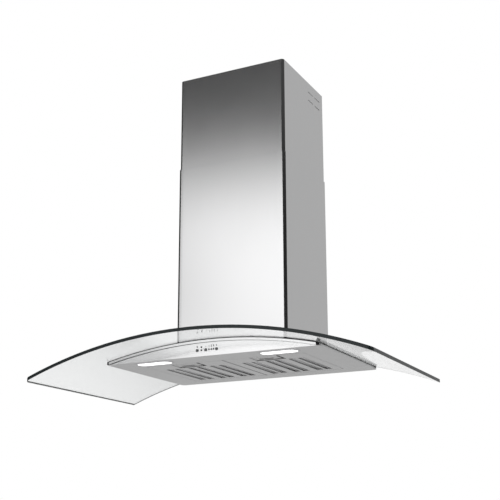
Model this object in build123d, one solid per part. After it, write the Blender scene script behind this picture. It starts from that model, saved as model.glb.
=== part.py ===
"""Curved glass range hood for a wall: glass canopy, stainless body, telescopic chimney.

Millimetres. X runs along the hood, Y points into the wall (the wall is Y = 0, the cook
stands at negative Y) and Z is up. Everything is drawn with Z = 0 at the flat underside
and moved down at the end, so that the origin is the middle of the two hanging holes.
"""
import os
from math import atan2, cos, degrees, radians, sin, sqrt

from build123d import *

# ---------------------------------------------------------------- driving dimensions
# Clearances
SEAT_GAP = 0.2            # between pieces that are clamped together on curved faces
RUN_GAP = 0.05            # radial, of a shaft or pin in its bore
SLIDE_GAP = 0.3           # between pieces that slide past each other
FLATS = 12                # small turned pieces that repeat are drawn with this many flats

# Curved glass
GLASS_WIDTH = 900.0
GLASS_OVERHANG = 111.0    # front edge beyond the body
GLASS_THICK = 8.0
GLASS_RADIUS = 1238.0     # of the upper face, bent about an axis along Y
GLASS_CORNER = 12.0       # front corners in plan
NOTCH_GAP = 4.0           # around the motor housing
NOTCH_CORNER = 15.0

# Stainless body under the glass
SHEET = 1.0
BODY_WIDTH = 575.0
BODY_END = 6.0            # height of the body and seal at its two ends
BODY_CORNER = 9.0
FRONT_BAND = 72.0         # front of the body to the filters, room for the lamps
GASKET_THICK = 1.6
GASKET_WIDTH = 14.0
LIP_HEIGHT = 5.4          # folded front edge of the plate that carries the glass
LIP_PROUD = 4.0
CAP_WIDTH = 9.0           # black caps that close the lip at its two ends
FASCIA_RETURN = 12.0      # the fascia wraps round the front corners this far
FASCIA_FOOT = 10.0
RIM_HEIGHT = 8.0          # upturned edge round the filter opening

# Grease filters
FILTER_WIDTH = 214.0
FILTER_DEPTH = 250.0
FILTER_HEIGHT = 9.0
FILTER_REAR = 54.0        # rear edge of the filters to the wall
FILTER_GAP = 0.8          # round the pair, in the tray's opening
FILTER_MIDDLE_GAP = 2.8   # between the pair
FILTER_SWING_GAP = 1.5    # behind the filters, for the swing
FILTER_CORNER = 3.0
SLOT_WIDTH = 17.5
SLOT_LENGTH = 181.0
SLOT_REAR = 13.0          # rear end of the slots to the filter's rear edge
SLOT_PITCH = 25.0         # between the two slots of a pair
PAIR_PITCH = 62.5
TAB_WIDTH = 24.0          # the rear tabs hook over the edge of the opening
TAB_SPREAD = 120.0
TAB_LAP = 7.5
MESH_THICK = 1.2
MESH_PLEAT = 8.0
MESH_DEPTH = 4.0
MESH_GAP = 0.8            # mesh and grid to the frame's walls
GRID_COLUMNS = 4
GRID_ROWS = 3

# Filter latch
POCKET_WIDTH = 77.0
POCKET_DEPTH = 48.0
POCKET_HEIGHT = 6.0
POCKET_FRONT = 2.0        # pocket to the filter's front edge
POCKET_OFFSET = -1.5      # middle of the pocket to the middle of the filter
LATCH_WIDTH = 71.0
LATCH_THICK = 1.5
LATCH_RECESS = 0.7
LATCH_TRAVEL = 6.0
TONGUE_WIDTH = 30.0
FINGER_WIDTH = 39.0
FINGER_DEPTH = 10.0
FINGER_FRONT = 26.0       # front of the finger hole to the front of the latch
LATCH_GRIP = 3.0

# Lamps
LAMP_WIDTH = 101.0
LAMP_DEPTH = 38.0
LAMP_CORNER = 18.0
LAMP_SPREAD = 339.0
LAMP_BEZEL = 1.5
LAMP_PROUD = 1.0
LAMP_HOLDER_HEIGHT = 9.0
LENS_INSET = 4.0          # opening's edge to the lens
LENS_THICK = 2.5
LENS_LEDGE = 1.5

# Controls
CONTROL_Z = 14.5
BUTTON_XS = (-28.9, -5.8, 23.2)
BUTTON_RADIUS = 3.5
BUTTON_PROUD = 2.0
BUTTON_TRAVEL = 1.5
BUTTON_FLANGE = 1.2
BUTTON_STEM_RADIUS = 1.5
LED_RADIUS = 1.4
LED_PROUD = 0.3
LED_XZ = ((-17.5, 21.8), (-17.5, 14.5), (3.2, 14.8), (9.5, 14.8), (15.1, 14.8))
BOARD_WIDTH = 96.0
BOARD_HEIGHT = 26.0
BOARD_THICK = 1.6
BOARD_BACK = 11.0         # face of the board to the front of the fascia
BOARD_FOOT = 4.0          # its lower edge to the underside
SWITCH_SIZE = 6.0
SWITCH_HEIGHT = 3.5
POST_RADIUS = 3.0

# Motor housing
HOUSING_WIDTH = 244.0
HOUSING_DEPTH = 235.0
HOUSING_TOP = 300.0
HOUSING_CORNER = 4.0
HOUSING_FLANGE = 9.0
PLATE_THICK = 2.0         # hanging plate against the wall
HANG_HEIGHT = 270.0       # hanging holes above the underside
HANG_SPACING = 180.0
HANG_RADIUS = 4.0
LOWER_FIX_HEIGHT = 75.0
LOWER_FIX_RADIUS = 3.0

# Blower
WHEEL_RADIUS = 70.0
WHEEL_INNER = 56.0
WHEEL_WIDTH = 140.0
WHEEL_BLADES = 30
WHEEL_RIM = 2.0
WHEEL_WEB = 2.0
BLADE_THICK = 1.2
BLADE_BOW = 3.6
BLADE_LEAD = 7.0          # degrees that a blade's tip leads its root
WHEEL_SHIFT = 4.5         # wheel's axis in front of the collar's
WHEEL_Z = 155.0
HUB_RADIUS = 11.0
HUB_LENGTH = 20.0
SHAFT_RADIUS = 4.0
SCROLL_WALL = 2.0
SCROLL_SIDE_GAP = 8.0     # wheel to the inside of the scroll, each end
SCROLL_STEP = 10.0        # radius lost in each quarter turn of the spiral
SCROLL_RADIUS = 98.0      # of the widest quarter
SCROLL_SHIFT = 8.0        # centre of the widest quarter from the wheel's, rear and up
TONGUE_ANGLE = 150.0
NECK_ROOM = 10.5          # collar to the inside of the neck's front wall
INLET_RADIUS = 60.0
MOTOR_RADIUS = 42.0
MOTOR_LENGTH = 84.0
MOTOR_END = -14.0         # X of the motor's shaft end
SPIDER_THICK = 3.0
SPIDER_RIM = 6.0
SPIDER_ARM = 14.0
SPIDER_REACH = 76.0
SHAFT_IN_MOTOR = 20.0

# Outlet collar and its back-draught flaps
COLLAR_RADIUS = 74.0      # takes a 150 mm duct
COLLAR_WALL = 2.0
COLLAR_HEIGHT = 45.0
COLLAR_BASE = 166.0
COLLAR_BASE_THICK = 2.0
FLAP_HEIGHT = 18.0        # flap pin above the collar's base plate
FLAP_THICK = 1.2
FLAP_GAP = 1.5
FLAP_PIN_RADIUS = 1.5
KNUCKLE_RADIUS = 3.2
KNUCKLE_LENGTH = 24.0
KNUCKLE_GAP = 0.5
STOP_RADIUS = 2.0         # pegs in the collar that the closed flaps rest on
STOP_LENGTH = 5.0
STOP_ANGLES = (50, 130, 230, 310)

# Electrics on the sides of the housing
BOX_LENGTH = 96.0
BOX_WIDTH = 22.0
BOX_HEIGHT = 60.0
BOX_Z = 200.0
BOX_Y = -110.0
GLAND_RADIUS = 8.0
GLAND_BORE = 4.5
GLAND_LENGTH = 16.0
GLAND_WALL = 1.0          # round the bore at the tip
CAPACITOR_RADIUS = 12.0
CAPACITOR_LENGTH = 60.0
CAPACITOR_Z = 180.0
DRIVER_LENGTH = 110.0
DRIVER_WIDTH = 32.0
DRIVER_HEIGHT = 14.0
DRIVER_CORNER = 2.0

# Chimney
CHIMNEY_SIDE_ROOM = 32.5  # housing to the outside of the lower cover, each side
CHIMNEY_FRONT_ROOM = 29.0
CHIMNEY_CORNER = 10.0
CHIMNEY_SHEET = 1.0
CHIMNEY_FIT = 0.7         # upper cover in the lower one, each side
CHIMNEY_FLANGE = 20.0
CHIMNEY_JOINT = 530.6     # top of the lower cover
CHIMNEY_TOP = 785.6
UPPER_LENGTH = 420.0
UPPER_WALL_GAP = 2.0
VENT_WIDTH = 34.0
VENT_HEIGHT = 3.0         # open slit of a louvre
VENT_PITCH_Y = 44.0
VENT_PITCH_Z = 24.0
VENT_TOP = 24.0           # upper row's slits to the top of the cover
VENT_REAR = 24.0          # rear column's edge to the wall
LOUVRE_DEPTH = 2.5        # each slit has a blade behind it, which slopes in and down
LOUVRE_DROP = 4.5
LOUVRE_THICK = 2.0        # measured upright
BRACKET_HEIGHT = 26.0
BRACKET_TAB = 18.0
BRACKET_DROP = 6.0
BRACKET_SPACING = 200.0
BRACKET_HOLE = 3.0
SCREW_RADIUS = 2.0
SCREW_HEAD = 4.0
SCREW_HEAD_HEIGHT = 2.0

# Glass fixings, hidden by the chimney
GLASS_SCREW_INSET = 13.0  # from the side of the notch
GLASS_SCREW_END = 25.0    # from the wall, and from the front of the notch
BUSH_RADIUS = 6.0
BUSH_FLANGE = 8.5
BUSH_FLANGE_THICK = 1.5
GLASS_SCREW_RADIUS = 2.5
GLASS_SCREW_HEAD = 6.0
GLASS_SCREW_REACH = 6.0   # below the glass

# ---------------------------------------------------------------- derived places
# Depths below the glass's upper face, measured towards the centre of the bend
GASKET_TOP = GLASS_THICK + SEAT_GAP
GASKET_UNDER = GASKET_TOP + GASKET_THICK
SUPPORT_TOP = GASKET_UNDER + SEAT_GAP
SUPPORT_UNDER = SUPPORT_TOP + SHEET
WALL_TOP = SUPPORT_UNDER + SEAT_GAP
ARCH_CENTRE = BODY_END - sqrt((GLASS_RADIUS - GLASS_THICK)**2 - (BODY_WIDTH / 2)**2)
GLASS_CROWN = ARCH_CENTRE + GLASS_RADIUS

BODY_DEPTH = FILTER_REAR + FILTER_DEPTH + FRONT_BAND
GLASS_DEPTH = BODY_DEPTH + GLASS_OVERHANG
FASCIA_Y = -BODY_DEPTH
LIP_Y = FASCIA_Y - LIP_PROUD
FILTER_FRONT = -(FILTER_REAR + FILTER_DEPTH)
FILTER_X = (FILTER_WIDTH + FILTER_MIDDLE_GAP) / 2
OPENING_X = FILTER_X + FILTER_WIDTH / 2 + FILTER_GAP
OPENING_FRONT = FILTER_FRONT - FILTER_GAP
OPENING_REAR = -FILTER_REAR + FILTER_SWING_GAP
LATCH_LENGTH = POCKET_DEPTH - LATCH_TRAVEL - 2 * SLIDE_GAP
LAMP_X = LAMP_SPREAD / 2
LAMP_Y = FASCIA_Y + FRONT_BAND / 2
HOUSING_X = HOUSING_WIDTH / 2
NOTCH_X = HOUSING_X + NOTCH_GAP
NOTCH_FRONT = -HOUSING_DEPTH - NOTCH_GAP
THROAT_X = HOUSING_X - SHEET - HOUSING_FLANGE
GLASS_SCREW_X = NOTCH_X + GLASS_SCREW_INSET
GLASS_SCREW_YS = (-GLASS_SCREW_END, NOTCH_FRONT + GLASS_SCREW_END)
COLLAR_Y = -HOUSING_DEPTH / 2
WHEEL_Y = COLLAR_Y - WHEEL_SHIFT
FLAP_Z = HOUSING_TOP + COLLAR_BASE_THICK + FLAP_HEIGHT
SCROLL_X = WHEEL_WIDTH / 2 + SCROLL_SIDE_GAP
CHIMNEY_WIDTH = HOUSING_WIDTH + 2 * CHIMNEY_SIDE_ROOM
CHIMNEY_DEPTH = HOUSING_DEPTH + CHIMNEY_FRONT_ROOM
UPPER_WIDTH = CHIMNEY_WIDTH - 2 * (CHIMNEY_SHEET + CHIMNEY_FIT)
UPPER_DEPTH = CHIMNEY_DEPTH - CHIMNEY_SHEET - CHIMNEY_FIT
BOARD_Y = FASCIA_Y + BOARD_BACK


# ---------------------------------------------------------------- helpers
def block(x, y, z):
    """Box between pairs of X, Y and Z values."""
    size = [high - low for low, high in (x, y, z)]
    middle = [(high + low) / 2 for low, high in (x, y, z)]
    return Pos(*middle) * Box(*size)


def rod(radius, start, end, flats=0):
    """Rod between two points on one axis, round or with flats."""
    path = Vector(*end) - Vector(*start)
    section = RegularPolygon(radius, flats) if flats else Circle(radius)
    return extrude(Plane(start, z_dir=path) * section, amount=path.length)


def plan_outline(width, front, rear, corner, all_corners=False):
    """Rectangle in plan, centred on X, with rounded front corners or all of them."""
    outline = Pos(0, (front + rear) / 2) * Rectangle(width, rear - front)
    corners = outline.vertices() if all_corners else outline.vertices().group_by(Axis.Y)[0]
    return fillet(corners, corner)


def under_arch(depth):
    """Everything under the arch that lies a given depth below the glass's upper face."""
    span = 2 * GLASS_DEPTH
    return Pos(0, 0, ARCH_CENTRE) * Rot(90, 0, 0) * Cylinder(GLASS_RADIUS - depth, 2 * span)


def arch_height(x, depth):
    """Height of that arch at a distance from the centre line."""
    radius = GLASS_RADIUS - depth
    return ARCH_CENTRE + sqrt(radius**2 - x**2)


def arched_sheet(outline, top, under):
    """Sheet bent to the arch, cut to an outline in plan."""
    column = Pos(0, 0, -GLASS_WIDTH / 4) * extrude(outline, amount=GLASS_WIDTH / 2)
    return (column & under_arch(top)) - under_arch(under)


def body_space(inset, floor, depth):
    """The body's space: its plan outline moved inwards, from a floor up to an arch."""
    outline = plan_outline(BODY_WIDTH - 2 * inset, FASCIA_Y + inset, -inset,
                           BODY_CORNER - inset, all_corners=True)
    return Pos(0, 0, floor) * extrude(outline, amount=GLASS_CROWN) & under_arch(depth)


def screw(x, y, z, axis, length, radius=SCREW_RADIUS, head=SCREW_HEAD):
    """Pan-head screw: z is the seat of its head, axis points from head to tip."""
    seat = Vector(x, y, z)
    tip = seat + Vector(*axis) * length
    top = seat - Vector(*axis) * SCREW_HEAD_HEIGHT
    return rod(radius, seat, tip, FLATS) + rod(head, top, seat, FLATS)


# ---------------------------------------------------------------- glass and body
def glass_canopy():
    plan = plan_outline(GLASS_WIDTH, -GLASS_DEPTH, 0, GLASS_CORNER)
    notch = plan_outline(2 * NOTCH_X, NOTCH_FRONT, NOTCH_GAP, NOTCH_CORNER)
    glass = arched_sheet(plan - notch, 0, GLASS_THICK)
    return glass - fixing_holes(BUSH_RADIUS + RUN_GAP)


def fixing_holes(radius):
    """Vertical holes where the glass is screwed down."""
    low = arch_height(GLASS_SCREW_X, SUPPORT_UNDER) - GLASS_SCREW_REACH
    return [rod(radius, (side * GLASS_SCREW_X, y, low), (side * GLASS_SCREW_X, y, GLASS_CROWN), FLATS)
            for side in (-1, 1) for y in GLASS_SCREW_YS]


def bush_top():
    return arch_height(GLASS_SCREW_X - BUSH_FLANGE, 0) + SEAT_GAP


def glass_bushes():
    """Rubber bushes that keep the screws off the glass."""
    bushes = []
    for side in (-1, 1):
        for y in GLASS_SCREW_YS:
            x = side * GLASS_SCREW_X
            foot = arch_height(GLASS_SCREW_X - BUSH_RADIUS, SUPPORT_TOP) + SEAT_GAP
            top = bush_top() + BUSH_FLANGE_THICK
            bush = rod(BUSH_RADIUS, (x, y, foot), (x, y, top), FLATS)
            bush += rod(BUSH_FLANGE, (x, y, bush_top()), (x, y, top), FLATS)
            bushes.append(bush - rod(GLASS_SCREW_RADIUS + RUN_GAP, (x, y, foot), (x, y, top), FLATS))
    return bushes


def glass_screws():
    seat = bush_top() + BUSH_FLANGE_THICK
    low = arch_height(GLASS_SCREW_X, SUPPORT_UNDER) - GLASS_SCREW_REACH
    return [screw(side * GLASS_SCREW_X, y, seat, (0, 0, -1), seat - low,
                  GLASS_SCREW_RADIUS, GLASS_SCREW_HEAD)
            for side in (-1, 1) for y in GLASS_SCREW_YS]


def glass_gasket():
    """Black strip between the glass and the body, all round."""
    outer = plan_outline(BODY_WIDTH, LIP_Y, 0, BODY_CORNER, all_corners=True)
    inner = plan_outline(BODY_WIDTH - 2 * GASKET_WIDTH, LIP_Y + GASKET_WIDTH, -GASKET_WIDTH,
                         BODY_CORNER, all_corners=True)
    notch = plan_outline(2 * NOTCH_X, NOTCH_FRONT, NOTCH_GAP, NOTCH_CORNER)
    return arched_sheet(outer - inner - notch, GASKET_TOP, GASKET_UNDER)


def lip_band(front, rear):
    """Band of the lip's height that hangs from the support's upper face."""
    plan = plan_outline(BODY_WIDTH, LIP_Y, 0, BODY_CORNER, all_corners=True)
    band = arched_sheet(plan, SUPPORT_TOP, SUPPORT_TOP + LIP_HEIGHT)
    return band & block((-BODY_WIDTH, BODY_WIDTH), (front, rear), (0, GLASS_CROWN))


def cap_spaces():
    """The two ends of the lip, which belong to the caps."""
    edge = BODY_WIDTH / 2 - CAP_WIDTH
    return [block(sorted((side * edge, side * BODY_WIDTH)), (LIP_Y - SHEET, FASCIA_Y - SEAT_GAP),
                  (-GLASS_CROWN, GLASS_CROWN)) for side in (-1, 1)]


def glass_support():
    """Arched plate that carries the glass, its front edge folded down as a lip."""
    plan = plan_outline(BODY_WIDTH, LIP_Y, 0, BODY_CORNER, all_corners=True)
    throat = plan_outline(2 * THROAT_X, -HOUSING_DEPTH + SHEET + HOUSING_FLANGE,
                          -PLATE_THICK - HOUSING_FLANGE, NOTCH_CORNER, all_corners=True)
    plate = arched_sheet(plan - throat, SUPPORT_TOP, SUPPORT_UNDER) + lip_band(LIP_Y, LIP_Y + SHEET)
    return plate - cap_spaces() - fixing_holes(GLASS_SCREW_RADIUS + RUN_GAP) - housing_screw_holes()


def corner_caps():
    band = lip_band(LIP_Y, FASCIA_Y - SEAT_GAP)
    return [band & space for space in cap_spaces()]


def lower_tray():
    """Bottom, rear and side walls in one sheet, with the filter and lamp openings."""
    shell = body_space(0, 0, WALL_TOP) - body_space(SHEET, SHEET, WALL_TOP - SHEET)
    front = (FASCIA_Y - SHEET, FASCIA_Y + FASCIA_RETURN)
    across = (-BODY_WIDTH, BODY_WIDTH)
    shell -= block(across, front, (SHEET, GLASS_CROWN))
    edge = body_space(0, 0, WALL_TOP) - body_space(SHEET + SEAT_GAP / 2, 0, WALL_TOP)
    shell -= edge & block(across, front, (0, GLASS_CROWN))
    opening = (-OPENING_X, OPENING_X), (OPENING_FRONT, OPENING_REAR)
    rim = block((-OPENING_X - SHEET, OPENING_X + SHEET), (OPENING_FRONT - SHEET, OPENING_REAR),
                (0, SHEET + RIM_HEIGHT))
    tray = shell + rim - block(*opening, (-SHEET, GLASS_CROWN))
    for side in (-1, 1):
        tray -= Pos(side * LAMP_X, LAMP_Y) * extrude(lamp_outline(0), amount=2 * SHEET, both=True)
    return tray


def front_fascia():
    """Front of the body, wrapped round both corners, with a foot on the tray's floor."""
    wall = body_space(0, 0, WALL_TOP) - body_space(SHEET, 0, WALL_TOP - SHEET)
    wall &= block((-BODY_WIDTH, BODY_WIDTH), (FASCIA_Y, FASCIA_Y + FASCIA_RETURN), (0, GLASS_CROWN))
    reach = BODY_WIDTH / 2 - FASCIA_RETURN
    wall += block((-reach, reach), (FASCIA_Y + SHEET / 2, FASCIA_Y + FASCIA_FOOT), (SHEET, 2 * SHEET))
    for x in BUTTON_XS:
        wall -= rod(BUTTON_RADIUS + SLIDE_GAP, (x, FASCIA_Y - SHEET, CONTROL_Z),
                    (x, FASCIA_Y + 2 * SHEET, CONTROL_Z))
    for x, z in LED_XZ:
        wall -= rod(LED_RADIUS + RUN_GAP, (x, FASCIA_Y - SHEET, z), (x, FASCIA_Y + 2 * SHEET, z), FLATS)
    return wall


# ---------------------------------------------------------------- controls and lamps
def control_board():
    """Circuit board on two posts behind the fascia, with one switch behind each button."""
    top = BOARD_FOOT + BOARD_HEIGHT
    board = block((-BOARD_WIDTH / 2, BOARD_WIDTH / 2), (BOARD_Y, BOARD_Y + BOARD_THICK), (BOARD_FOOT, top))
    for x in BUTTON_XS:
        board += block((x - SWITCH_SIZE / 2, x + SWITCH_SIZE / 2), (BOARD_Y - SWITCH_HEIGHT, BOARD_Y),
                       (CONTROL_Z - SWITCH_SIZE / 2, CONTROL_Z + SWITCH_SIZE / 2))
    for side in (-1, 1):
        x = side * (BOARD_WIDTH / 2 - 2 * POST_RADIUS)
        board += rod(POST_RADIUS, (x, FASCIA_Y + SHEET, CONTROL_Z), (x, BOARD_Y, CONTROL_Z))
    return board


def button(x):
    """Round push button: a cap through the fascia, a flange behind it and a stem."""
    front = FASCIA_Y - BUTTON_PROUD
    back = FASCIA_Y + SHEET + SLIDE_GAP
    cap = rod(BUTTON_RADIUS, (x, front, CONTROL_Z), (x, back, CONTROL_Z))
    flange_end = back + BUTTON_FLANGE
    flange = rod(BUTTON_RADIUS + BUTTON_FLANGE, (x, back, CONTROL_Z), (x, flange_end, CONTROL_Z), FLATS)
    stem_end = BOARD_Y - SWITCH_HEIGHT - BUTTON_TRAVEL - SLIDE_GAP
    stem = rod(BUTTON_STEM_RADIUS, (x, flange_end, CONTROL_Z), (x, stem_end, CONTROL_Z), FLATS)
    return cap + flange + stem


def led_indicators():
    """Light pipes of the five indicators, from the board to the front."""
    return [rod(LED_RADIUS, (x, FASCIA_Y - LED_PROUD, z), (x, BOARD_Y, z), FLATS) for x, z in LED_XZ]


def lamp_outline(grow):
    return RectangleRounded(LAMP_WIDTH + 2 * grow, LAMP_DEPTH + 2 * grow, LAMP_CORNER + grow)


def lamp_holder(side):
    """Holder pushed up through the tray: bezel below, cup above."""
    bezel = Pos(0, 0, -LAMP_PROUD) * extrude(lamp_outline(LAMP_BEZEL), amount=LAMP_PROUD)
    cup = extrude(lamp_outline(-SLIDE_GAP), amount=LAMP_HOLDER_HEIGHT)
    lens_seat = Pos(0, 0, -LAMP_PROUD) * extrude(lamp_outline(-LENS_INSET), amount=LENS_THICK)
    plan = Rectangle(LAMP_WIDTH - 2 * LAMP_CORNER, LAMP_DEPTH - 2 * (LENS_INSET + LENS_LEDGE))
    inside = extrude(plan, amount=LAMP_HOLDER_HEIGHT - SHEET)
    return Pos(side * LAMP_X, LAMP_Y) * (bezel + cup - lens_seat - inside)


def lamp_lens(side):
    lens = Pos(0, 0, -LAMP_PROUD) * extrude(lamp_outline(-LENS_INSET - RUN_GAP), amount=LENS_THICK)
    return Pos(side * LAMP_X, LAMP_Y) * lens


def led_driver():
    """Supply for the lamps, on the tray's floor midway between them."""
    plan = RectangleRounded(DRIVER_LENGTH, DRIVER_WIDTH, DRIVER_CORNER)
    return Pos(0, LAMP_Y, SHEET) * extrude(plan, amount=DRIVER_HEIGHT)


# ---------------------------------------------------------------- grease filters
def filter_frame(x):
    """Stainless front with slots and folded edges, a latch pocket and two rear tabs."""
    plan = Pos(0, FILTER_FRONT + FILTER_DEPTH / 2) * RectangleRounded(
        FILTER_WIDTH, FILTER_DEPTH, FILTER_CORNER)
    inner = offset(plan, -SHEET)
    shell = extrude(plan, amount=FILTER_HEIGHT)
    shell -= Pos(0, 0, SHEET) * extrude(inner, amount=FILTER_HEIGHT)
    slot_y = -FILTER_REAR - SLOT_REAR - SLOT_LENGTH / 2
    slots = Sketch() + [Pos(pair * PAIR_PITCH + side * SLOT_PITCH / 2, slot_y)
                        * Rectangle(SLOT_WIDTH, SLOT_LENGTH)
                        for pair in (-1, 0, 1) for side in (-1, 1)]
    shell -= extrude(slots, amount=2 * SHEET)
    pocket_x, pocket_y = pocket_spans()
    cup = block((pocket_x[0] - SHEET, pocket_x[1] + SHEET), (pocket_y[0] - SHEET, pocket_y[1] + SHEET),
                (0, POCKET_HEIGHT))
    shell += cup
    shell -= block(pocket_x, pocket_y, (-SHEET, POCKET_HEIGHT - SHEET))
    tongue_x = tongue_span()
    shell -= block((tongue_x[0] - SLIDE_GAP, tongue_x[1] + SLIDE_GAP),
                   (FILTER_FRONT - SHEET, pocket_y[0] + SHEET),
                   (LATCH_RECESS - SLIDE_GAP, LATCH_RECESS + LATCH_THICK + SLIDE_GAP))
    for side in (-1, 1):
        tab_x = side * TAB_SPREAD / 2
        low = SHEET + SLIDE_GAP
        shell += block((tab_x - TAB_WIDTH / 2, tab_x + TAB_WIDTH / 2),
                       (-FILTER_REAR - SHEET, OPENING_REAR + TAB_LAP), (low, low + SHEET))
    return Pos(x, 0) * shell


def pocket_spans():
    """X and Y spans of the latch pocket, X from the middle of the filter."""
    left = POCKET_OFFSET - POCKET_WIDTH / 2
    front = FILTER_FRONT + POCKET_FRONT
    return (left, left + POCKET_WIDTH), (front, front + POCKET_DEPTH)


def tongue_span():
    return POCKET_OFFSET - TONGUE_WIDTH / 2, POCKET_OFFSET + TONGUE_WIDTH / 2


def mesh_space():
    """Half width, front and rear of the space that the mesh and its grid fill."""
    half = FILTER_WIDTH / 2 - SHEET - MESH_GAP
    front = pocket_spans()[1][1] + SHEET + MESH_GAP
    return half, front, -FILTER_REAR - SHEET - MESH_GAP


def filter_mesh(x):
    """Pleated aluminium mesh, drawn as one folded sheet that fills the frame."""
    half, front, rear = mesh_space()
    folds = int(2 * half // MESH_PLEAT)
    pitch = 2 * half / folds
    low = SHEET + SEAT_GAP
    lower = []
    for fold in range(folds):
        left = -half + fold * pitch
        lower += [(left, low), (left + pitch / 2, low + MESH_DEPTH)]
    lower.append((half, low))
    upper = [(px, pz + MESH_THICK) for px, pz in reversed(lower)]
    section = Plane.XZ * make_face(Polyline(*lower, *upper, close=True))
    return Pos(x, rear) * extrude(section, amount=rear - front)


def filter_grid(x):
    """Rear retaining grid of the mesh: a holed aluminium sheet in the frame."""
    half, front, rear = mesh_space()
    middle = Pos(0, (front + rear) / 2)
    sheet = middle * Rectangle(2 * half, rear - front)
    step_x, step_y = 2 * half / GRID_COLUMNS, (rear - front) / GRID_ROWS
    hole = Rectangle(step_x - MESH_DEPTH, step_y - MESH_DEPTH)
    sheet -= middle * GridLocations(step_x, step_y, GRID_COLUMNS, GRID_ROWS) * hole
    low = SHEET + 2 * SEAT_GAP + MESH_DEPTH + MESH_THICK
    return Pos(x, 0, low) * extrude(sheet, amount=SHEET)


def filter_latch(x):
    """Sliding latch plate with a finger hole, a bent grip and a tongue at the front."""
    pocket_x, pocket_y = pocket_spans()
    left = pocket_x[0] + SLIDE_GAP
    front = pocket_y[0] + SLIDE_GAP
    z = (LATCH_RECESS, LATCH_RECESS + LATCH_THICK)
    plate = block((left, left + LATCH_WIDTH), (front, front + LATCH_LENGTH), z)
    tip = OPENING_FRONT + SLIDE_GAP
    plate += block(tongue_span(), (tip, front + SHEET), z)
    hole_left = left + (LATCH_WIDTH - FINGER_WIDTH) / 2
    hole_x = (hole_left, hole_left + FINGER_WIDTH)
    hole_rear = front + FINGER_FRONT + FINGER_DEPTH
    plate -= block(hole_x, (hole_rear - FINGER_DEPTH, hole_rear), (0, FILTER_HEIGHT))
    grip_z = (LATCH_RECESS, LATCH_RECESS + LATCH_GRIP)
    plate += block(hole_x, (hole_rear - SHEET, hole_rear + SHEET / 2), grip_z)
    return Pos(x, 0) * plate


# ---------------------------------------------------------------- motor housing
def housing_screw_places():
    """Middle of the housing's foot on each side, front and rear."""
    x = HOUSING_X - SHEET - HOUSING_FLANGE / 2
    return [(side * x, share * HOUSING_DEPTH) for side in (-1, 1) for share in (-0.8, -0.2)]


def housing_screw_holes():
    x = housing_screw_places()[-1][0]
    middle = arch_height(x, SUPPORT_TOP)
    reach = 4 * SHEET
    return [rod(SCREW_RADIUS + RUN_GAP, (px, py, middle - reach), (px, py, middle + reach), FLATS)
            for px, py in housing_screw_places()]


def motor_housing():
    """Sheet box over the blower, open below, with an arched foot on the glass support."""
    outline = plan_outline(HOUSING_WIDTH, -HOUSING_DEPTH, -PLATE_THICK, HOUSING_CORNER)
    outer = extrude(outline, amount=HOUSING_TOP)
    inner = plan_outline(HOUSING_WIDTH - 2 * SHEET, -HOUSING_DEPTH + SHEET, 0, HOUSING_CORNER - SHEET)
    shell = outer - extrude(inner, amount=HOUSING_TOP - SHEET)
    throat = plan_outline(2 * THROAT_X, -HOUSING_DEPTH + SHEET + HOUSING_FLANGE,
                          -PLATE_THICK - HOUSING_FLANGE, NOTCH_CORNER, all_corners=True)
    foot_top = SUPPORT_TOP - SEAT_GAP - SHEET
    shell = shell - under_arch(SUPPORT_TOP - SEAT_GAP)
    shell += arched_sheet(outline - throat, foot_top, SUPPORT_TOP - SEAT_GAP)
    shell -= rod(COLLAR_RADIUS - COLLAR_WALL, (0, COLLAR_Y, HOUSING_TOP - 2 * SHEET),
                 (0, COLLAR_Y, HOUSING_TOP + SHEET))
    return shell - housing_screw_holes()


def housing_screws():
    screws = []
    for x, y in housing_screw_places():
        seat = arch_height(abs(x) - SCREW_HEAD, SUPPORT_TOP - SEAT_GAP - SHEET) + SEAT_GAP
        screws.append(screw(x, y, seat, (0, 0, -1), 4 * SHEET))
    return screws


def hanging_plate():
    """Back of the housing: the plate that hangs on two wall screws and is locked by two more."""
    low = arch_height(0, SUPPORT_TOP) + SHEET
    plate = block((-HOUSING_X, HOUSING_X), (-PLATE_THICK, 0), (low, HOUSING_TOP))
    for side in (-1, 1):
        for radius, height in ((HANG_RADIUS, HANG_HEIGHT), (LOWER_FIX_RADIUS, LOWER_FIX_HEIGHT)):
            x = side * HANG_SPACING / 2
            plate -= rod(radius, (x, -2 * PLATE_THICK, height), (x, PLATE_THICK, height))
    return plate - under_arch(SUPPORT_TOP - SEAT_GAP)


# ---------------------------------------------------------------- blower
def scroll_outline():
    """Four-centre spiral: each quarter turn has a smaller radius, down to the tongue."""
    y, z = WHEEL_Y + SCROLL_SHIFT, WHEEL_Z + SCROLL_SHIFT
    r1, r2, r3 = SCROLL_RADIUS, SCROLL_RADIUS - SCROLL_STEP, SCROLL_RADIUS - 2 * SCROLL_STEP
    z2 = z - r1 + r2
    y3 = y - r2 + r3
    top = HOUSING_TOP + SCROLL_STEP
    neck = COLLAR_Y - COLLAR_RADIUS - NECK_ROOM
    tongue = (y3 + r3 * cos(radians(TONGUE_ANGLE)), z2 + r3 * sin(radians(TONGUE_ANGLE)))
    outline = Curve() + [
        Line((neck, top), (y + r1, top)),
        Line((y + r1, top), (y + r1, z)),
        CenterArc((y, z), r1, 0, -90),
        CenterArc((y, z2), r2, -90, -90),
        CenterArc((y3, z2), r3, -180, TONGUE_ANGLE - 180),
        Line(tongue, (neck, tongue[1] + SCROLL_STEP)),
        Line((neck, tongue[1] + SCROLL_STEP), (neck, top)),
    ]
    return make_face(outline)


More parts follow.
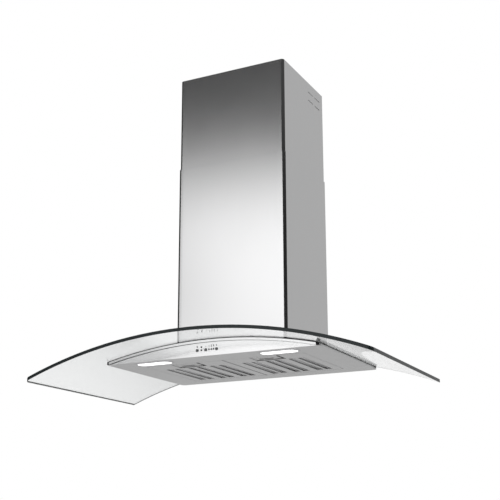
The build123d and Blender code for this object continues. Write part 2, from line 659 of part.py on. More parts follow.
def blower_scroll():
    """Plastic scroll with an inlet at each end; its neck opens under the outlet collar."""
    inside = scroll_outline()
    outside = offset(inside, SCROLL_WALL)
    outer_x = SCROLL_X + SCROLL_WALL
    scroll = extrude(Plane.YZ * outside, amount=outer_x, both=True)
    scroll -= extrude(Plane.YZ * inside, amount=SCROLL_X, both=True)
    scroll -= rod(INLET_RADIUS, (-outer_x - SHEET, WHEEL_Y, WHEEL_Z), (outer_x + SHEET, WHEEL_Y, WHEEL_Z))
    return scroll & block((-HOUSING_X, HOUSING_X), (-HOUSING_DEPTH, 0), (0, HOUSING_TOP - SHEET))


def blade_outline():
    """Section of one forward-curved blade, bent from strip with one fold and blunt ends."""
    lead = radians(BLADE_LEAD)
    root_x, tip_r = WHEEL_INNER + BLADE_THICK, WHEEL_RADIUS - BLADE_THICK
    tip_x, tip_y = tip_r * cos(lead), tip_r * sin(lead)
    middle = (root_x + tip_x) / 2, tip_y / 2 - BLADE_BOW
    half = BLADE_THICK / 2
    return make_face(Polyline(
        (root_x, 0), middle, (tip_x, tip_y), (tip_x + half, tip_y - half),
        (middle[0] + half, middle[1] - BLADE_THICK), (root_x, -BLADE_THICK), close=True))


def impeller():
    """Double-inlet wheel: forward-curved blades between two rims and a central web."""
    blade = blade_outline()
    blades = Sketch() + [Rot(0, 0, turn * 360 / WHEEL_BLADES) * blade for turn in range(WHEEL_BLADES)]
    half = WHEEL_WIDTH / 2
    wheel = extrude(Plane.YZ * blades, amount=half, both=True)
    ring = Circle(WHEEL_RADIUS) - Circle(WHEEL_INNER)
    for x in (-half, half - WHEEL_RIM):
        wheel += Pos(x, 0, 0) * extrude(Plane.YZ * ring, amount=WHEEL_RIM)
    wheel += rod(WHEEL_RADIUS, (-WHEEL_WEB / 2, 0, 0), (WHEEL_WEB / 2, 0, 0))
    wheel += rod(HUB_RADIUS, (-HUB_LENGTH / 2, 0, 0), (HUB_LENGTH / 2, 0, 0))
    wheel -= rod(SHAFT_RADIUS + RUN_GAP, (-HUB_LENGTH, 0, 0), (HUB_LENGTH, 0, 0))
    return Pos(0, WHEEL_Y, WHEEL_Z) * wheel


def motor_shaft():
    start = MOTOR_END - SHAFT_IN_MOTOR + SHEET
    return rod(SHAFT_RADIUS, (start, WHEEL_Y, WHEEL_Z), (HUB_LENGTH / 2, WHEEL_Y, WHEEL_Z))


def motor():
    """Motor in one inlet of the wheel, with a bearing bore for the shaft."""
    case = rod(MOTOR_RADIUS, (MOTOR_END - MOTOR_LENGTH, WHEEL_Y, WHEEL_Z), (MOTOR_END, WHEEL_Y, WHEEL_Z))
    return case - rod(SHAFT_RADIUS + RUN_GAP, (MOTOR_END - SHAFT_IN_MOTOR, WHEEL_Y, WHEEL_Z),
                      (MOTOR_END + SHEET, WHEEL_Y, WHEEL_Z))


def motor_bracket():
    """Three-armed spider that holds the motor on the end of the scroll."""
    spider = Circle(MOTOR_RADIUS + SPIDER_RIM)
    for angle in (90, 210, 330):
        spider += Rot(0, 0, angle) * Pos(SPIDER_REACH / 2, 0) * Rectangle(SPIDER_REACH, SPIDER_ARM)
    spider -= Circle(MOTOR_RADIUS + RUN_GAP)
    x = -SCROLL_X - SCROLL_WALL - SPIDER_THICK
    return Pos(x, WHEEL_Y, WHEEL_Z) * extrude(Plane.YZ * spider, amount=SPIDER_THICK)


# ---------------------------------------------------------------- outlet
def outlet_collar():
    """Round spigot for the duct on a square base plate."""
    base = RectangleRounded(COLLAR_BASE, COLLAR_BASE, HOUSING_CORNER)
    collar = extrude(base, amount=COLLAR_BASE_THICK)
    collar += extrude(Circle(COLLAR_RADIUS), amount=COLLAR_BASE_THICK + COLLAR_HEIGHT)
    collar -= extrude(Circle(COLLAR_RADIUS - COLLAR_WALL), amount=COLLAR_BASE_THICK + COLLAR_HEIGHT)
    stop_z = COLLAR_BASE_THICK + FLAP_HEIGHT - FLAP_THICK / 2 - SEAT_GAP - STOP_RADIUS
    outer, inner = COLLAR_RADIUS - COLLAR_WALL / 2, COLLAR_RADIUS - COLLAR_WALL - STOP_LENGTH
    for angle in STOP_ANGLES:
        across = Vector(cos(radians(angle)), sin(radians(angle)), 0)
        lift = Vector(0, 0, stop_z)
        collar += rod(STOP_RADIUS, across * inner + lift, across * outer + lift, FLATS)
    collar = Pos(0, COLLAR_Y, HOUSING_TOP) * collar
    return collar - rod(FLAP_PIN_RADIUS + RUN_GAP, (-COLLAR_BASE, COLLAR_Y, FLAP_Z),
                        (COLLAR_BASE, COLLAR_Y, FLAP_Z))


def damper_pin():
    return rod(FLAP_PIN_RADIUS, (-COLLAR_RADIUS, COLLAR_Y, FLAP_Z), (COLLAR_RADIUS, COLLAR_Y, FLAP_Z))


def damper_flap(side):
    """Half-round flap; its knuckles take turns on the pin with those of its twin."""
    radius = COLLAR_RADIUS - COLLAR_WALL - FLAP_GAP
    straight = KNUCKLE_RADIUS + KNUCKLE_GAP
    plan = Circle(radius) & (Pos(0, side * (straight + radius)) * Rectangle(2 * radius, 2 * radius))
    flap = Pos(0, 0, -FLAP_THICK / 2) * extrude(plan, amount=FLAP_THICK)
    pitch = KNUCKLE_LENGTH + KNUCKLE_GAP
    for turn in (-1.5, 0.5) if side > 0 else (-0.5, 1.5):
        low, high = turn * pitch - KNUCKLE_LENGTH / 2, turn * pitch + KNUCKLE_LENGTH / 2
        flap += rod(KNUCKLE_RADIUS, (low, 0, 0), (high, 0, 0), FLATS)
        flap += block((low, high), sorted((0, side * 2 * straight)), (-FLAP_THICK / 2, FLAP_THICK / 2))
    flap -= rod(FLAP_PIN_RADIUS + RUN_GAP, (-radius, 0, 0), (radius, 0, 0))
    return Pos(0, COLLAR_Y, FLAP_Z) * flap


# ---------------------------------------------------------------- electrics
def terminal_box():
    """Mains connection box on the right side of the housing."""
    case = block((HOUSING_X, HOUSING_X + BOX_WIDTH), (BOX_Y - BOX_LENGTH / 2, BOX_Y + BOX_LENGTH / 2),
                 (BOX_Z, BOX_Z + BOX_HEIGHT))
    return fillet(case.edges().filter_by(Axis.X), HOUSING_CORNER)


def cable_gland():
    """Cable inlet on top of the connection box, a tapered strain relief."""
    x = HOUSING_X + BOX_WIDTH / 2
    low = BOX_Z + BOX_HEIGHT
    nut = Pos(x, BOX_Y, low) * extrude(RegularPolygon(GLAND_RADIUS, 6), amount=GLAND_LENGTH / 4)
    base, tip = GLAND_RADIUS - GLAND_WALL, GLAND_BORE + 2 * GLAND_WALL
    slope = degrees(atan2(base - tip, GLAND_LENGTH))
    cone = Pos(x, BOX_Y, low) * extrude(RegularPolygon(base, FLATS), amount=GLAND_LENGTH, taper=slope)
    bore = rod(GLAND_BORE, (x, BOX_Y, low), (x, BOX_Y, low + 2 * GLAND_LENGTH))
    return nut + cone - bore


def capacitor():
    """Run capacitor of the motor, on the left side of the housing."""
    x = -HOUSING_X - CAPACITOR_RADIUS
    return rod(CAPACITOR_RADIUS, (x, BOX_Y, CAPACITOR_Z), (x, BOX_Y, CAPACITOR_Z + CAPACITOR_LENGTH))


# ---------------------------------------------------------------- chimney
def chimney_section(width, depth, rear):
    """U-shaped sheet section with return flanges along the wall."""
    outer = plan_outline(width, -depth, rear, CHIMNEY_CORNER)
    inner = plan_outline(width - 2 * CHIMNEY_SHEET, -depth + CHIMNEY_SHEET, rear - CHIMNEY_SHEET,
                         CHIMNEY_CORNER - CHIMNEY_SHEET)
    gap = Pos(0, rear) * Rectangle(width - 2 * CHIMNEY_FLANGE, 4 * CHIMNEY_SHEET)
    return outer - inner - gap


def lower_chimney():
    """Lower cover; its foot is cut to the arch of the glass."""
    cover = extrude(chimney_section(CHIMNEY_WIDTH, CHIMNEY_DEPTH, 0), amount=CHIMNEY_JOINT)
    return cover - under_arch(-SEAT_GAP)


def upper_chimney():
    """Upper cover, which telescopes in the lower one, with louvred vents near its top."""
    section = chimney_section(UPPER_WIDTH, UPPER_DEPTH, -UPPER_WALL_GAP)
    cover = Pos(0, 0, CHIMNEY_TOP - UPPER_LENGTH) * extrude(section, amount=UPPER_LENGTH)
    for column in (0, 1):
        for row in (0, 1):
            rear = -VENT_REAR - column * VENT_PITCH_Y
            top = CHIMNEY_TOP - VENT_TOP - row * VENT_PITCH_Z
            slit = (rear - VENT_WIDTH, rear), (top - VENT_HEIGHT, top)
            cover -= block((-CHIMNEY_WIDTH, CHIMNEY_WIDTH), *slit)
            cover += [louvre(side, rear, top) for side in (-1, 1)]
    return cover


def louvre(side, rear, top):
    """Blade behind one slit, from the sheet's inner face above it, inwards and down."""
    face = UPPER_WIDTH / 2 - CHIMNEY_SHEET
    edge, low = face - LOUVRE_DEPTH, top - LOUVRE_DROP
    section = [(face, top), (face, top + LOUVRE_THICK), (edge, low + LOUVRE_THICK), (edge, low)]
    outline = make_face(Polyline(*((side * x, z) for x, z in section), close=True))
    return Pos(0, rear) * extrude(Plane.XZ * outline, amount=VENT_WIDTH)


def chimney_bracket():
    """Wall bracket of the upper cover: a bar with a forward tab at each end."""
    half = UPPER_WIDTH / 2 - CHIMNEY_SHEET - SEAT_GAP
    top = CHIMNEY_TOP - BRACKET_DROP
    z = (top - BRACKET_HEIGHT, top)
    rear = -UPPER_WALL_GAP - CHIMNEY_SHEET - SEAT_GAP
    bar = block((-half, half), (rear - CHIMNEY_SHEET, rear), z)
    inner = half - CHIMNEY_FLANGE - 2 * CHIMNEY_SHEET
    bar += block((-inner, inner), (rear - CHIMNEY_SHEET, 0), z)
    step = inner - CHIMNEY_SHEET
    bar -= block((-step, step), (rear - 2 * CHIMNEY_SHEET, -CHIMNEY_SHEET), z)
    for side in (-1, 1):
        bar += block(sorted((side * half, side * (half - CHIMNEY_SHEET))), (rear - BRACKET_TAB, rear), z)
        x = side * BRACKET_SPACING / 2
        middle = sum(z) / 2
        bar -= rod(BRACKET_HOLE, (x, -2 * UPPER_WALL_GAP, middle), (x, UPPER_WALL_GAP, middle))
    return bar


# ---------------------------------------------------------------- output
def hood_nodes():
    nodes = {
        "glass_canopy": glass_canopy(),
        "glass_gasket": glass_gasket(),
        "glass_bushes": glass_bushes(),
        "glass_screws": glass_screws(),
        "glass_support": glass_support(),
        "corner_caps": corner_caps(),
        "lower_tray": lower_tray(),
        "front_fascia": front_fascia(),
        "control_board": control_board(),
        "led_indicators": led_indicators(),
        "led_driver": led_driver(),
        "motor_housing": motor_housing(),
        "housing_screws": housing_screws(),
        "hanging_plate": hanging_plate(),
        "blower_scroll": blower_scroll(),
        "impeller": impeller(),
        "motor_shaft": motor_shaft(),
        "motor": motor(),
        "motor_bracket": motor_bracket(),
        "outlet_collar": outlet_collar(),
        "damper_pin": damper_pin(),
        "flap_front": damper_flap(-1),
        "flap_rear": damper_flap(1),
        "terminal_box": terminal_box(),
        "cable_gland": cable_gland(),
        "capacitor": capacitor(),
        "lower_chimney": lower_chimney(),
        "upper_chimney": upper_chimney(),
        "chimney_bracket": chimney_bracket(),
    }
    for number, x in enumerate(BUTTON_XS, start=1):
        nodes[f"button_{number}"] = button(x)
    for name, side in (("left", -1), ("right", 1)):
        nodes[f"lamp_{name}_holder"] = lamp_holder(side)
        nodes[f"lamp_{name}_lens"] = lamp_lens(side)
        nodes[f"filter_{name}_frame"] = filter_frame(side * FILTER_X)
        nodes[f"filter_{name}_mesh"] = filter_mesh(side * FILTER_X)
        nodes[f"filter_{name}_grid"] = filter_grid(side * FILTER_X)
        nodes[f"filter_{name}_latch"] = filter_latch(side * FILTER_X)
    return nodes


os.makedirs("parts", exist_ok=True)
for node, shape in hood_nodes().items():
    solids = shape if isinstance(shape, list) else [shape]
    placed = Compound([solid for piece in solids for solid in piece.solids()])
    export_step(placed.moved(Pos(0, 0, -HANG_HEIGHT)), f"parts/{node}.step")
print("written")
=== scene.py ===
# %% [markdown]
# # Curved glass range hood
# This lesson dresses a kitchen hood: a bent glass canopy on a flat stainless body, with a
# telescopic chimney above it. The engineering model is loaded first as a fixed frame, so every
# new piece is drawn in metres exactly where the real one sits. The wall is the plane Y = 0, the
# cook stands at negative Y, and the origin is the middle of the two hanging holes.

# %% Load the frame
from math import cos, degrees, pi, radians, sqrt

import bmesh
import bpy
from mathutils import Matrix, Vector


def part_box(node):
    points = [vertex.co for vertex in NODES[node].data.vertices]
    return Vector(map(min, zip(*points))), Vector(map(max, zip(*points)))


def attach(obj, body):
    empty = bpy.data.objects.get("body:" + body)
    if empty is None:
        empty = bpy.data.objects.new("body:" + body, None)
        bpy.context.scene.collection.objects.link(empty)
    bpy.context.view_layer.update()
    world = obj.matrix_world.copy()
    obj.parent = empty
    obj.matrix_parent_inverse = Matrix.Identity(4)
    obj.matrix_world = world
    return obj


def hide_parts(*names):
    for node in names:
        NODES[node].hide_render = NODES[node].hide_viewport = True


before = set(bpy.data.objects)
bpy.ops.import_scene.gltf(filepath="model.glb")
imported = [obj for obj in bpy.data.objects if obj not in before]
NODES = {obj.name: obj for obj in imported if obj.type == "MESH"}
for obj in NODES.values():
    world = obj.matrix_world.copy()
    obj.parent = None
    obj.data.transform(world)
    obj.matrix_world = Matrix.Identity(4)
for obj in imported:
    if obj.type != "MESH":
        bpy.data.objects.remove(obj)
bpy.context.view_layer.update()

# %% [markdown]
# ## Camera
# The photograph was taken from below and from the right, by a level camera whose lens was shifted
# far up, so the chimney's upright edges stay parallel. A long lens that tilts up, with a small
# shift, shows nearly the same picture, and it still frames the hood from every side.

# %% Camera
CAMERA_PLACE = (1.1491, -2.4412, -0.7017)
CAMERA_TURN = 26.66      # degrees to the left of straight at the wall
CAMERA_TILT = 14.34      # degrees upwards
CAMERA_ROLL = -0.17
CAMERA_LENS = 72.94      # millimetres on the usual 36 mm sensor
CAMERA_SHIFT_Y = 0.07
CAMERA_CLIP = (0.05, 60)


def add_object(name, data):
    made = bpy.data.objects.new(name, data)
    bpy.context.scene.collection.objects.link(made)
    return made


camera = add_object("camera", bpy.data.cameras.new("camera"))
camera.matrix_world = (Matrix.Translation(CAMERA_PLACE) @ Matrix.Rotation(radians(CAMERA_TURN), 4, "Z")
                       @ Matrix.Rotation(radians(90 + CAMERA_TILT), 4, "X")
                       @ Matrix.Rotation(radians(CAMERA_ROLL), 4, "Z"))
camera.data.lens = CAMERA_LENS
camera.data.shift_y = CAMERA_SHIFT_Y
camera.data.clip_start, camera.data.clip_end = CAMERA_CLIP
bpy.context.scene.camera = camera
bpy.context.scene.view_settings.view_transform = "Standard"
print("camera at", CAMERA_PLACE, "with a", CAMERA_LENS, "mm lens")

# %% [markdown]
# ## Shader maths written as Python
# A finish is easier to read as arithmetic than as boxes and wires. Value wraps a socket, so an
# expression such as 1 - mask * 0.5 adds the Math nodes that it needs. Every other node comes from
# Tree.add, which takes the node's type, its settings, and the values or links of its sockets. A
# finish is then a function that gives the changing values of one shader.


# %% Values that do arithmetic
class Value:
    """A socket of a node tree that takes part in Python arithmetic."""

    def __init__(self, tree, socket):
        self.tree = tree
        self.socket = socket

    def maths(self, operation, *values):
        return self.tree.add("ShaderNodeMath", {"operation": operation}, dict(enumerate(values)))

    def __add__(self, other):
        return self.maths("ADD", self, other)

    def __sub__(self, other):
        return self.maths("SUBTRACT", self, other)

    def __rsub__(self, other):
        return self.maths("SUBTRACT", other, self)

    def __mul__(self, other):
        return self.maths("MULTIPLY", self, other)

    def __lt__(self, other):
        return self.maths("LESS_THAN", self, other)

    __radd__ = __add__
    __rmul__ = __mul__

    def sine(self):
        return self.maths("SINE", self)

    def size(self):
        return self.maths("ABSOLUTE", self)

    def larger(self, other):
        return self.maths("MAXIMUM", self, other)

    def smooth(self, start, end):
        """0 at start, 1 at end, and a soft step between them."""
        return self.tree.add("ShaderNodeMapRange", {"interpolation_type": "SMOOTHSTEP"},
                             {"Value": self, "From Min": start, "From Max": end})

    def between(self, low, high, soft):
        """1 from low to high, with soft edges that fade outwards."""
        return self.smooth(low - soft, low) * (1 - self.smooth(high, high + soft))


# %% Trees of nodes
class Tree:
    """A node tree to which nodes are added by calls."""

    def __init__(self, owner):
        owner.use_nodes = True
        self.nodes = owner.node_tree.nodes
        self.links = owner.node_tree.links
        self.nodes.clear()

    def add(self, kind, settings=None, inputs=None, output=0):
        """Adds a node and returns one of its outputs. Settings come first, then the sockets."""
        node = self.nodes.new(kind)
        for name, value in (settings or {}).items():
            setattr(node, name, value)
        for key, value in (inputs or {}).items():
            if isinstance(value, Value):
                self.links.new(value.socket, node.inputs[key])
            else:
                node.inputs[key].default_value = value
        return Value(self, node.outputs[output]) if node.outputs else node

    def parts(self, vector):
        """The X, Y and Z values of a vector."""
        return [self.add("ShaderNodeSeparateXYZ", inputs={"Vector": vector}, output=i) for i in range(3)]

    def mix(self, factor, first, second):
        """A colour between two opaque colours."""
        return self.add("ShaderNodeMix", {"data_type": "RGBA"},
                        {0: factor, 6: (*first, 1), 7: (*second, 1)}, output=2)

    def place(self, scale=(1, 1, 1)):
        """Object coordinates in metres, stretched by a scale."""
        spot = self.add("ShaderNodeTexCoord", output="Object")
        return self.add("ShaderNodeMapping", {"vector_type": "TEXTURE"},
                        {"Vector": spot, "Scale": [1 / s for s in scale]})

    def noise(self, x, y=None, z=None, detail=2):
        """Noise with this many lumps per metre, the same number each way if only one is given."""
        where = self.place((x, y or x, z or x))
        return self.add("ShaderNodeTexNoise", inputs={"Vector": where, "Scale": 1.0, "Detail": detail})

    def bump(self, height, strength, distance):
        return self.add("ShaderNodeBump", inputs={"Height": height, "Strength": strength,
                                                  "Distance": distance})


def finish(name, surface, inputs):
    """A material made of one Principled shader. surface(tree) gives its changing values."""
    material = bpy.data.materials.new(name)
    tree = Tree(material)
    shader = tree.add("ShaderNodeBsdfPrincipled", inputs={**inputs, **surface(tree)})
    tree.add("ShaderNodeOutputMaterial", inputs={"Surface": shader})
    return material


print("shader tools ready")

# %% [markdown]
# ## The studio
# Satin steel shows mostly what it reflects, so the studio matters more than the metal. A large
# white softbox hangs in front on the left, black card stands in front on the right, and the ceiling
# is dark. Round them the walls are grey: dark on the left, pale behind, a little darker below. All
# are painted on the world, by the direction of the ray in degrees round and up, where 0 round is
# the cook's side. What the camera sees directly, or through the glass, is plain white paper.

# %% World
SOFTBOX_AROUND = (-31.5, -8)
SOFTBOX_UP = (-24, 17.2)
SOFTBOX_LIGHT = 1.32
SOFTBOX_FADE = 0.16      # share of its light that is lost at its lower and at its left edge
SOFTBOX_CORNER = 0.19    # and in its upper left corner
SOFTBOX_TILT = 0.7       # degrees that its right side hangs lower
CARD = (-6, 140)
CARD_LIGHT = 0.02
CEILING_AROUND = (-110, 120)
CEILING_UP = (18.4, 24.4)            # where it starts to show, and where it is all dark
CEILING = 0.062
LEFT_WALL = (-135, -40)
BACK_WALL = (-172, -135)
GREY = 0.50
LEFT_DARKER, BACK_LIGHTER, FLOOR_DARKER = 0.47, 0.40, 0.07
SOFT_EDGE = 5.0
WALL_EDGE = 8.0
CEILING_EDGE = 20.0


def softbox_light(around, up):
    """The light of the softbox, which is uneven as a real one's is."""
    low_side = 1 - SOFTBOX_FADE + up.smooth(7, 16) * SOFTBOX_FADE
    left_side = 1 - SOFTBOX_FADE + around.smooth(-33, -26) * SOFTBOX_FADE
    corner = up.smooth(11.5, 13) * (1 - up.smooth(13, 20)) * (1 - around.smooth(-31, -27))
    return low_side * left_side * SOFTBOX_LIGHT * (1 - corner * SOFTBOX_CORNER)


def studio():
    world = bpy.data.worlds.new("studio")
    bpy.context.scene.world = world
    tree = Tree(world)
    x, y, z = tree.parts(tree.add("ShaderNodeTexCoord", output="Generated"))
    around = x.maths("ARCTAN2", x, y * -1) * degrees(1)
    up = z.maths("ARCSINE", z) * degrees(1)
    height = up - around.smooth(-31, -24) * SOFTBOX_TILT
    box = around.between(*SOFTBOX_AROUND, SOFT_EDGE) * height.between(*SOFTBOX_UP, SOFT_EDGE)
    card = around.between(*CARD, SOFT_EDGE) * up.smooth(1, 7)
    ceiling = around.between(*CEILING_AROUND, CEILING_EDGE) * height.smooth(*CEILING_UP)
    left = around.between(*LEFT_WALL, WALL_EDGE) * up.smooth(-4, 6)
    back = around.between(*BACK_WALL, WALL_EDGE) * up.smooth(-7, -1)
    below = 1 - up.smooth(-8, -3)
    light = GREY - left * LEFT_DARKER + back * BACK_LIGHTER - below * FLOOR_DARKER
    for mask, tone in ((card, CARD_LIGHT), (ceiling, CEILING), (box, softbox_light(around, up))):
        light = light + mask * (tone - light)
    seen, through, glossy, diffuse = [
        tree.add("ShaderNodeLightPath", output=name)
        for name in ("Is Camera Ray", "Is Transmission Ray", "Glossy Depth", "Diffuse Depth")]
    direct = seen + through * ((glossy + diffuse) < 0.5)
    strength = light + direct * (1 - light)
    background = tree.add("ShaderNodeBackground", inputs={"Color": (1, 1, 1, 1), "Strength": strength})
    tree.add("ShaderNodeOutputWorld", inputs={"Surface": background})


studio()
print("studio: softbox", SOFTBOX_LIGHT, "grey", GREY, "card", CARD_LIGHT, "ceiling", CEILING)

# %% [markdown]
# ## Floor and lamps
# The hood hangs 1.6 m above a pale matt floor. One big soft lamp lights it from above, a weak one
# fills the underside, and a third washes the floor. All three stay out of the mirror-like
# reflections, which belong to the world.

# %% Floor and lamps
FLOOR_DROP = 1.6         # below the underside of the hood
FLOOR_SIZE = 9.0
FLOOR_MIDDLE_Y = -0.5
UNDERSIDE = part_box("lower_tray")[0].z
FLOOR_Z = UNDERSIDE - FLOOR_DROP


def make_object(name, shape, materials):
    mesh = bpy.data.meshes.new(name)
    shape.to_mesh(mesh)
    shape.free()
    for material in materials:
        mesh.materials.append(material)
    return add_object(name, mesh)


def paper(tree):
    grain = tree.noise(40, detail=3)
    return {"Base Color": tree.mix(grain, (0.80, 0.80, 0.80), (0.86, 0.86, 0.86))}


def plain_floor():
    shape = bmesh.new()
    bmesh.ops.create_grid(shape, x_segments=2, y_segments=2, size=FLOOR_SIZE / 2)
    bmesh.ops.translate(shape, verts=shape.verts, vec=(0, FLOOR_MIDDLE_Y, FLOOR_Z))
    make_object("floor", shape, [finish("floor_paper", paper, {"Roughness": 0.9})])


def soft_lamp(name, place, aim, size, watts):
    light = bpy.data.lights.new(name, "AREA")
    light.shape = "SQUARE"
    light.size = size
    light.energy = watts
    lamp = add_object(name, light)
    lamp.location = place
    lamp.rotation_euler = (Vector(aim) - Vector(place)).to_track_quat("-Z", "Y").to_euler()
    lamp.visible_camera = False
    lamp.visible_glossy = False
    lamp.visible_transmission = False


plain_floor()
soft_lamp("overhead", place=(-0.8, -1.6, 3.2), aim=(0, -0.3, 0), size=3.0, watts=110)
soft_lamp("low_fill", place=(0.9, -2.6, -1.2), aim=(0, -0.2, 0), size=1.6, watts=16)
soft_lamp("floor_wash", place=(0, FLOOR_MIDDLE_Y, UNDERSIDE - 0.3), aim=(0, FLOOR_MIDDLE_Y, FLOOR_Z),
          size=7.0, watts=85)
print("floor at", round(FLOOR_Z, 3))

# %% [markdown]
# ## Stainless steel
# The body and chimney are brushed stainless sheet. Its grain is far too fine to see from two
# metres, but it blurs every reflection and gives the satin sheen. A noise stretched along the
# brushing direction drives the roughness and a very shallow bump, and a broad faint noise keeps
# large faces from looking printed. Only outer faces are brushed: inside a punched recess the sheet
# is a dull dark grey, partly its mill skin and partly painted shade for the recess.

# %% Stainless steel
GRAIN_FINE = 1400.0      # brush lines per metre, across the grain
GRAIN_LONG = 14.0        # and along it


def brushed(name, grain, light=0.80, dark=0.74, rough=0.09, spread=0.08):
    """Brushed metal. grain is the number of its lines per metre along X, Y and Z."""
    def surface(tree):
        lines = tree.noise(*grain, detail=3)
        cloud = tree.noise(6, detail=1)
        tone = tree.mix(lines * 0.6 + cloud * 0.4, (dark, dark, dark * 1.01), (light, light, light))
        return {"Base Color": tone, "Roughness": rough + lines * spread + cloud * 0.03,
                "Normal": tree.bump(lines, 0.06, 0.0002)}
    return finish(name, surface, {"Metallic": 1.0})


UPRIGHT = (GRAIN_FINE, GRAIN_FINE, GRAIN_LONG)
ACROSS = (GRAIN_LONG, GRAIN_FINE, GRAIN_FINE)
steel_upright = brushed("steel_upright", UPRIGHT)
steel_across = brushed("steel_across", ACROSS)
# A lighter copy of the same stainless, which paints extra light on the fascia and the lip.
fascia_steel_painted_light = brushed("fascia_steel_painted_light", ACROSS, light=0.90, dark=0.84)
# A dull dark grey for faces inside recesses: mill skin, and also painted shade there.
mill_and_shade_steel = brushed("mill_and_shade_steel", ACROSS, light=0.40, dark=0.34, rough=0.34, spread=0.10)
print("steel: grain", GRAIN_FINE, "lines per metre")

# %% [markdown]
# ## Clear glass
# The canopy is 8 mm clear toughened glass. It is a true refracting body, so it darkens what is
# behind it where it is seen at a low angle. Its ground edge has painted shade: its colour is nearly
# black along the front, where little light would travel the long way through the glass, and greyer
# at the sides. Lamps shine through it: their rays meet a clear shader in its place.

# %% Clear glass
GLASS_IOR = 1.50


def clear_glass():
    material = bpy.data.materials.new("clear_glass")
    tree = Tree(material)
    glass = tree.add("ShaderNodeBsdfPrincipled", inputs={
        "Base Color": (0.925, 0.935, 0.935, 1), "Roughness": 0.0, "IOR": GLASS_IOR,
        "Transmission Weight": 1.0})
    clear = tree.add("ShaderNodeBsdfTransparent", inputs={"Color": (0.93, 0.94, 0.94, 1)})
    lamp_ray = tree.add("ShaderNodeLightPath", output="Is Shadow Ray")
    both = tree.add("ShaderNodeMixShader", inputs={0: lamp_ray, 1: glass, 2: clear})
    tree.add("ShaderNodeOutputMaterial", inputs={"Surface": both})
    return material


def ground_edge():
    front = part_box("glass_canopy")[0].y

    def surface(tree):
        behind_front = tree.parts(tree.place())[1] - front
        side = behind_front.smooth(0.002, 0.014)
        cloud = tree.noise(30)
        # Painted shade: the edge's colour is nearly black along the front and greyer at the sides.
        tone = tree.mix(side, (0.012, 0.017, 0.018), (0.075, 0.082, 0.083))
        return {"Base Color": tone, "Roughness": 0.22 + cloud * 0.1}
    return finish("ground_edge", surface, {"Specular IOR Level": 0.35})


glass = clear_glass()
glass_edge = ground_edge()
print("glass: refractive index", GLASS_IOR)

# %% [markdown]
# ## Other finishes
# Each remaining material repeats one idea at its own scale: a moulded plastic has a fine pebbled
# skin, rubber is duller and softer, zinc-coated sheet shows its crystals, and a circuit board has
# its tracks. The pattern drives colour, roughness and bump together.

# %% Plastics, rubber and coated sheet
PEBBLES = 1800.0         # per metre
CRYSTALS = 110.0


def moulded(name, colour, rough, gloss=0.5):
    """Moulded plastic or rubber with a pebbled skin."""
    def surface(tree):
        skin = tree.noise(PEBBLES)
        lighter = [min(1.0, c * 1.25 + 0.004) for c in colour]
        return {"Base Color": tree.mix(tree.noise(25), colour, lighter),
                "Roughness": rough - 0.06 + skin * 0.12, "Normal": tree.bump(skin, 0.12, 0.0003)}
    return finish(name, surface, {"Specular IOR Level": gloss})


def spangled(tree):
    """Hot-dip zinc with its crystals."""
    crystal = tree.add("ShaderNodeTexVoronoi", inputs={"Vector": tree.place(), "Scale": CRYSTALS},
                       output="Color")
    shade = tree.add("ShaderNodeSeparateColor", inputs={"Color": crystal})
    return {"Base Color": tree.mix(shade, (0.50, 0.52, 0.54), (0.68, 0.70, 0.71)),
            "Roughness": 0.34 + shade * 0.16}


def cast_metal(name, colour, rough, scale=600.0):
    """Plain metal with a faint cloud and fine scratches."""
    def surface(tree):
        fine = tree.noise(scale, detail=3)
        darker = [c * 0.86 for c in colour]
        return {"Base Color": tree.mix(tree.noise(20), darker, colour),
                "Roughness": rough - 0.05 + fine * 0.12, "Normal": tree.bump(fine, 0.08, 0.0002)}
    return finish(name, surface, {"Metallic": 1.0})


seal_rubber = moulded("seal_rubber", (0.003, 0.003, 0.003), rough=0.62, gloss=0.15)
black_plastic = moulded("black_plastic", (0.010, 0.010, 0.011), rough=0.5, gloss=0.2)
grey_plastic = moulded("grey_plastic", (0.34, 0.35, 0.36), rough=0.45)
wheel_plastic = moulded("wheel_plastic", (0.055, 0.057, 0.060), rough=0.40)
driver_case = moulded("driver_case", (0.70, 0.70, 0.68), rough=0.48)
galvanised = finish("galvanised", spangled, {"Metallic": 0.9})
zinc = cast_metal("zinc", (0.66, 0.67, 0.68), rough=0.30)
motor_metal = cast_metal("motor_metal", (0.46, 0.47, 0.48), rough=0.42)
button_metal = cast_metal("button_metal", (0.20, 0.20, 0.205), rough=0.24)
latch_steel = brushed("latch_steel", ACROSS, light=0.66, dark=0.60, rough=0.18)
aluminium = cast_metal("aluminium", (0.34, 0.34, 0.345), rough=0.42, scale=900.0)
lamp_bezel = cast_metal("lamp_bezel", (0.74, 0.74, 0.75), rough=0.22)
print("finishes:", len(bpy.data.materials))

# %% [markdown]
# ## Board, indicators and lamps
# The circuit board hides behind the fascia, but it is green with paler tracks like a real one.
# The indicators are small smoked light pipes. The lamp lenses glow, a little unevenly, as frosted
# plastic over a row of small diodes does.


# %% Board, indicators and lamps
def circuit_board(tree):
    track = tree.add("ShaderNodeTexVoronoi", {"distance": "CHEBYCHEV", "feature": "F1"},
                     {"Vector": tree.place(), "Scale": 160.0}, output="Distance")
    mask = track.between(0.30, 0.36, 0.02)
    return {"Base Color": tree.mix(mask, (0.010, 0.10, 0.035), (0.05, 0.26, 0.11)),
            "Roughness": 0.35 + mask * 0.1}


def smoked(tree):
    cloud = tree.noise(400, detail=1)
    return {"Base Color": tree.mix(cloud, (0.006, 0.007, 0.008), (0.016, 0.017, 0.018)),
            "Roughness": 0.25 + cloud * 0.1}


def frosted_glow(tree):
    dots = tree.noise(220, detail=1)
    return {"Base Color": tree.mix(dots, (0.86, 0.86, 0.85), (0.95, 0.95, 0.94)),
            "Emission Color": tree.mix(dots, (0.94, 0.95, 0.96), (1.0, 1.0, 0.99)),
            "Roughness": 0.32 + dots * 0.1}


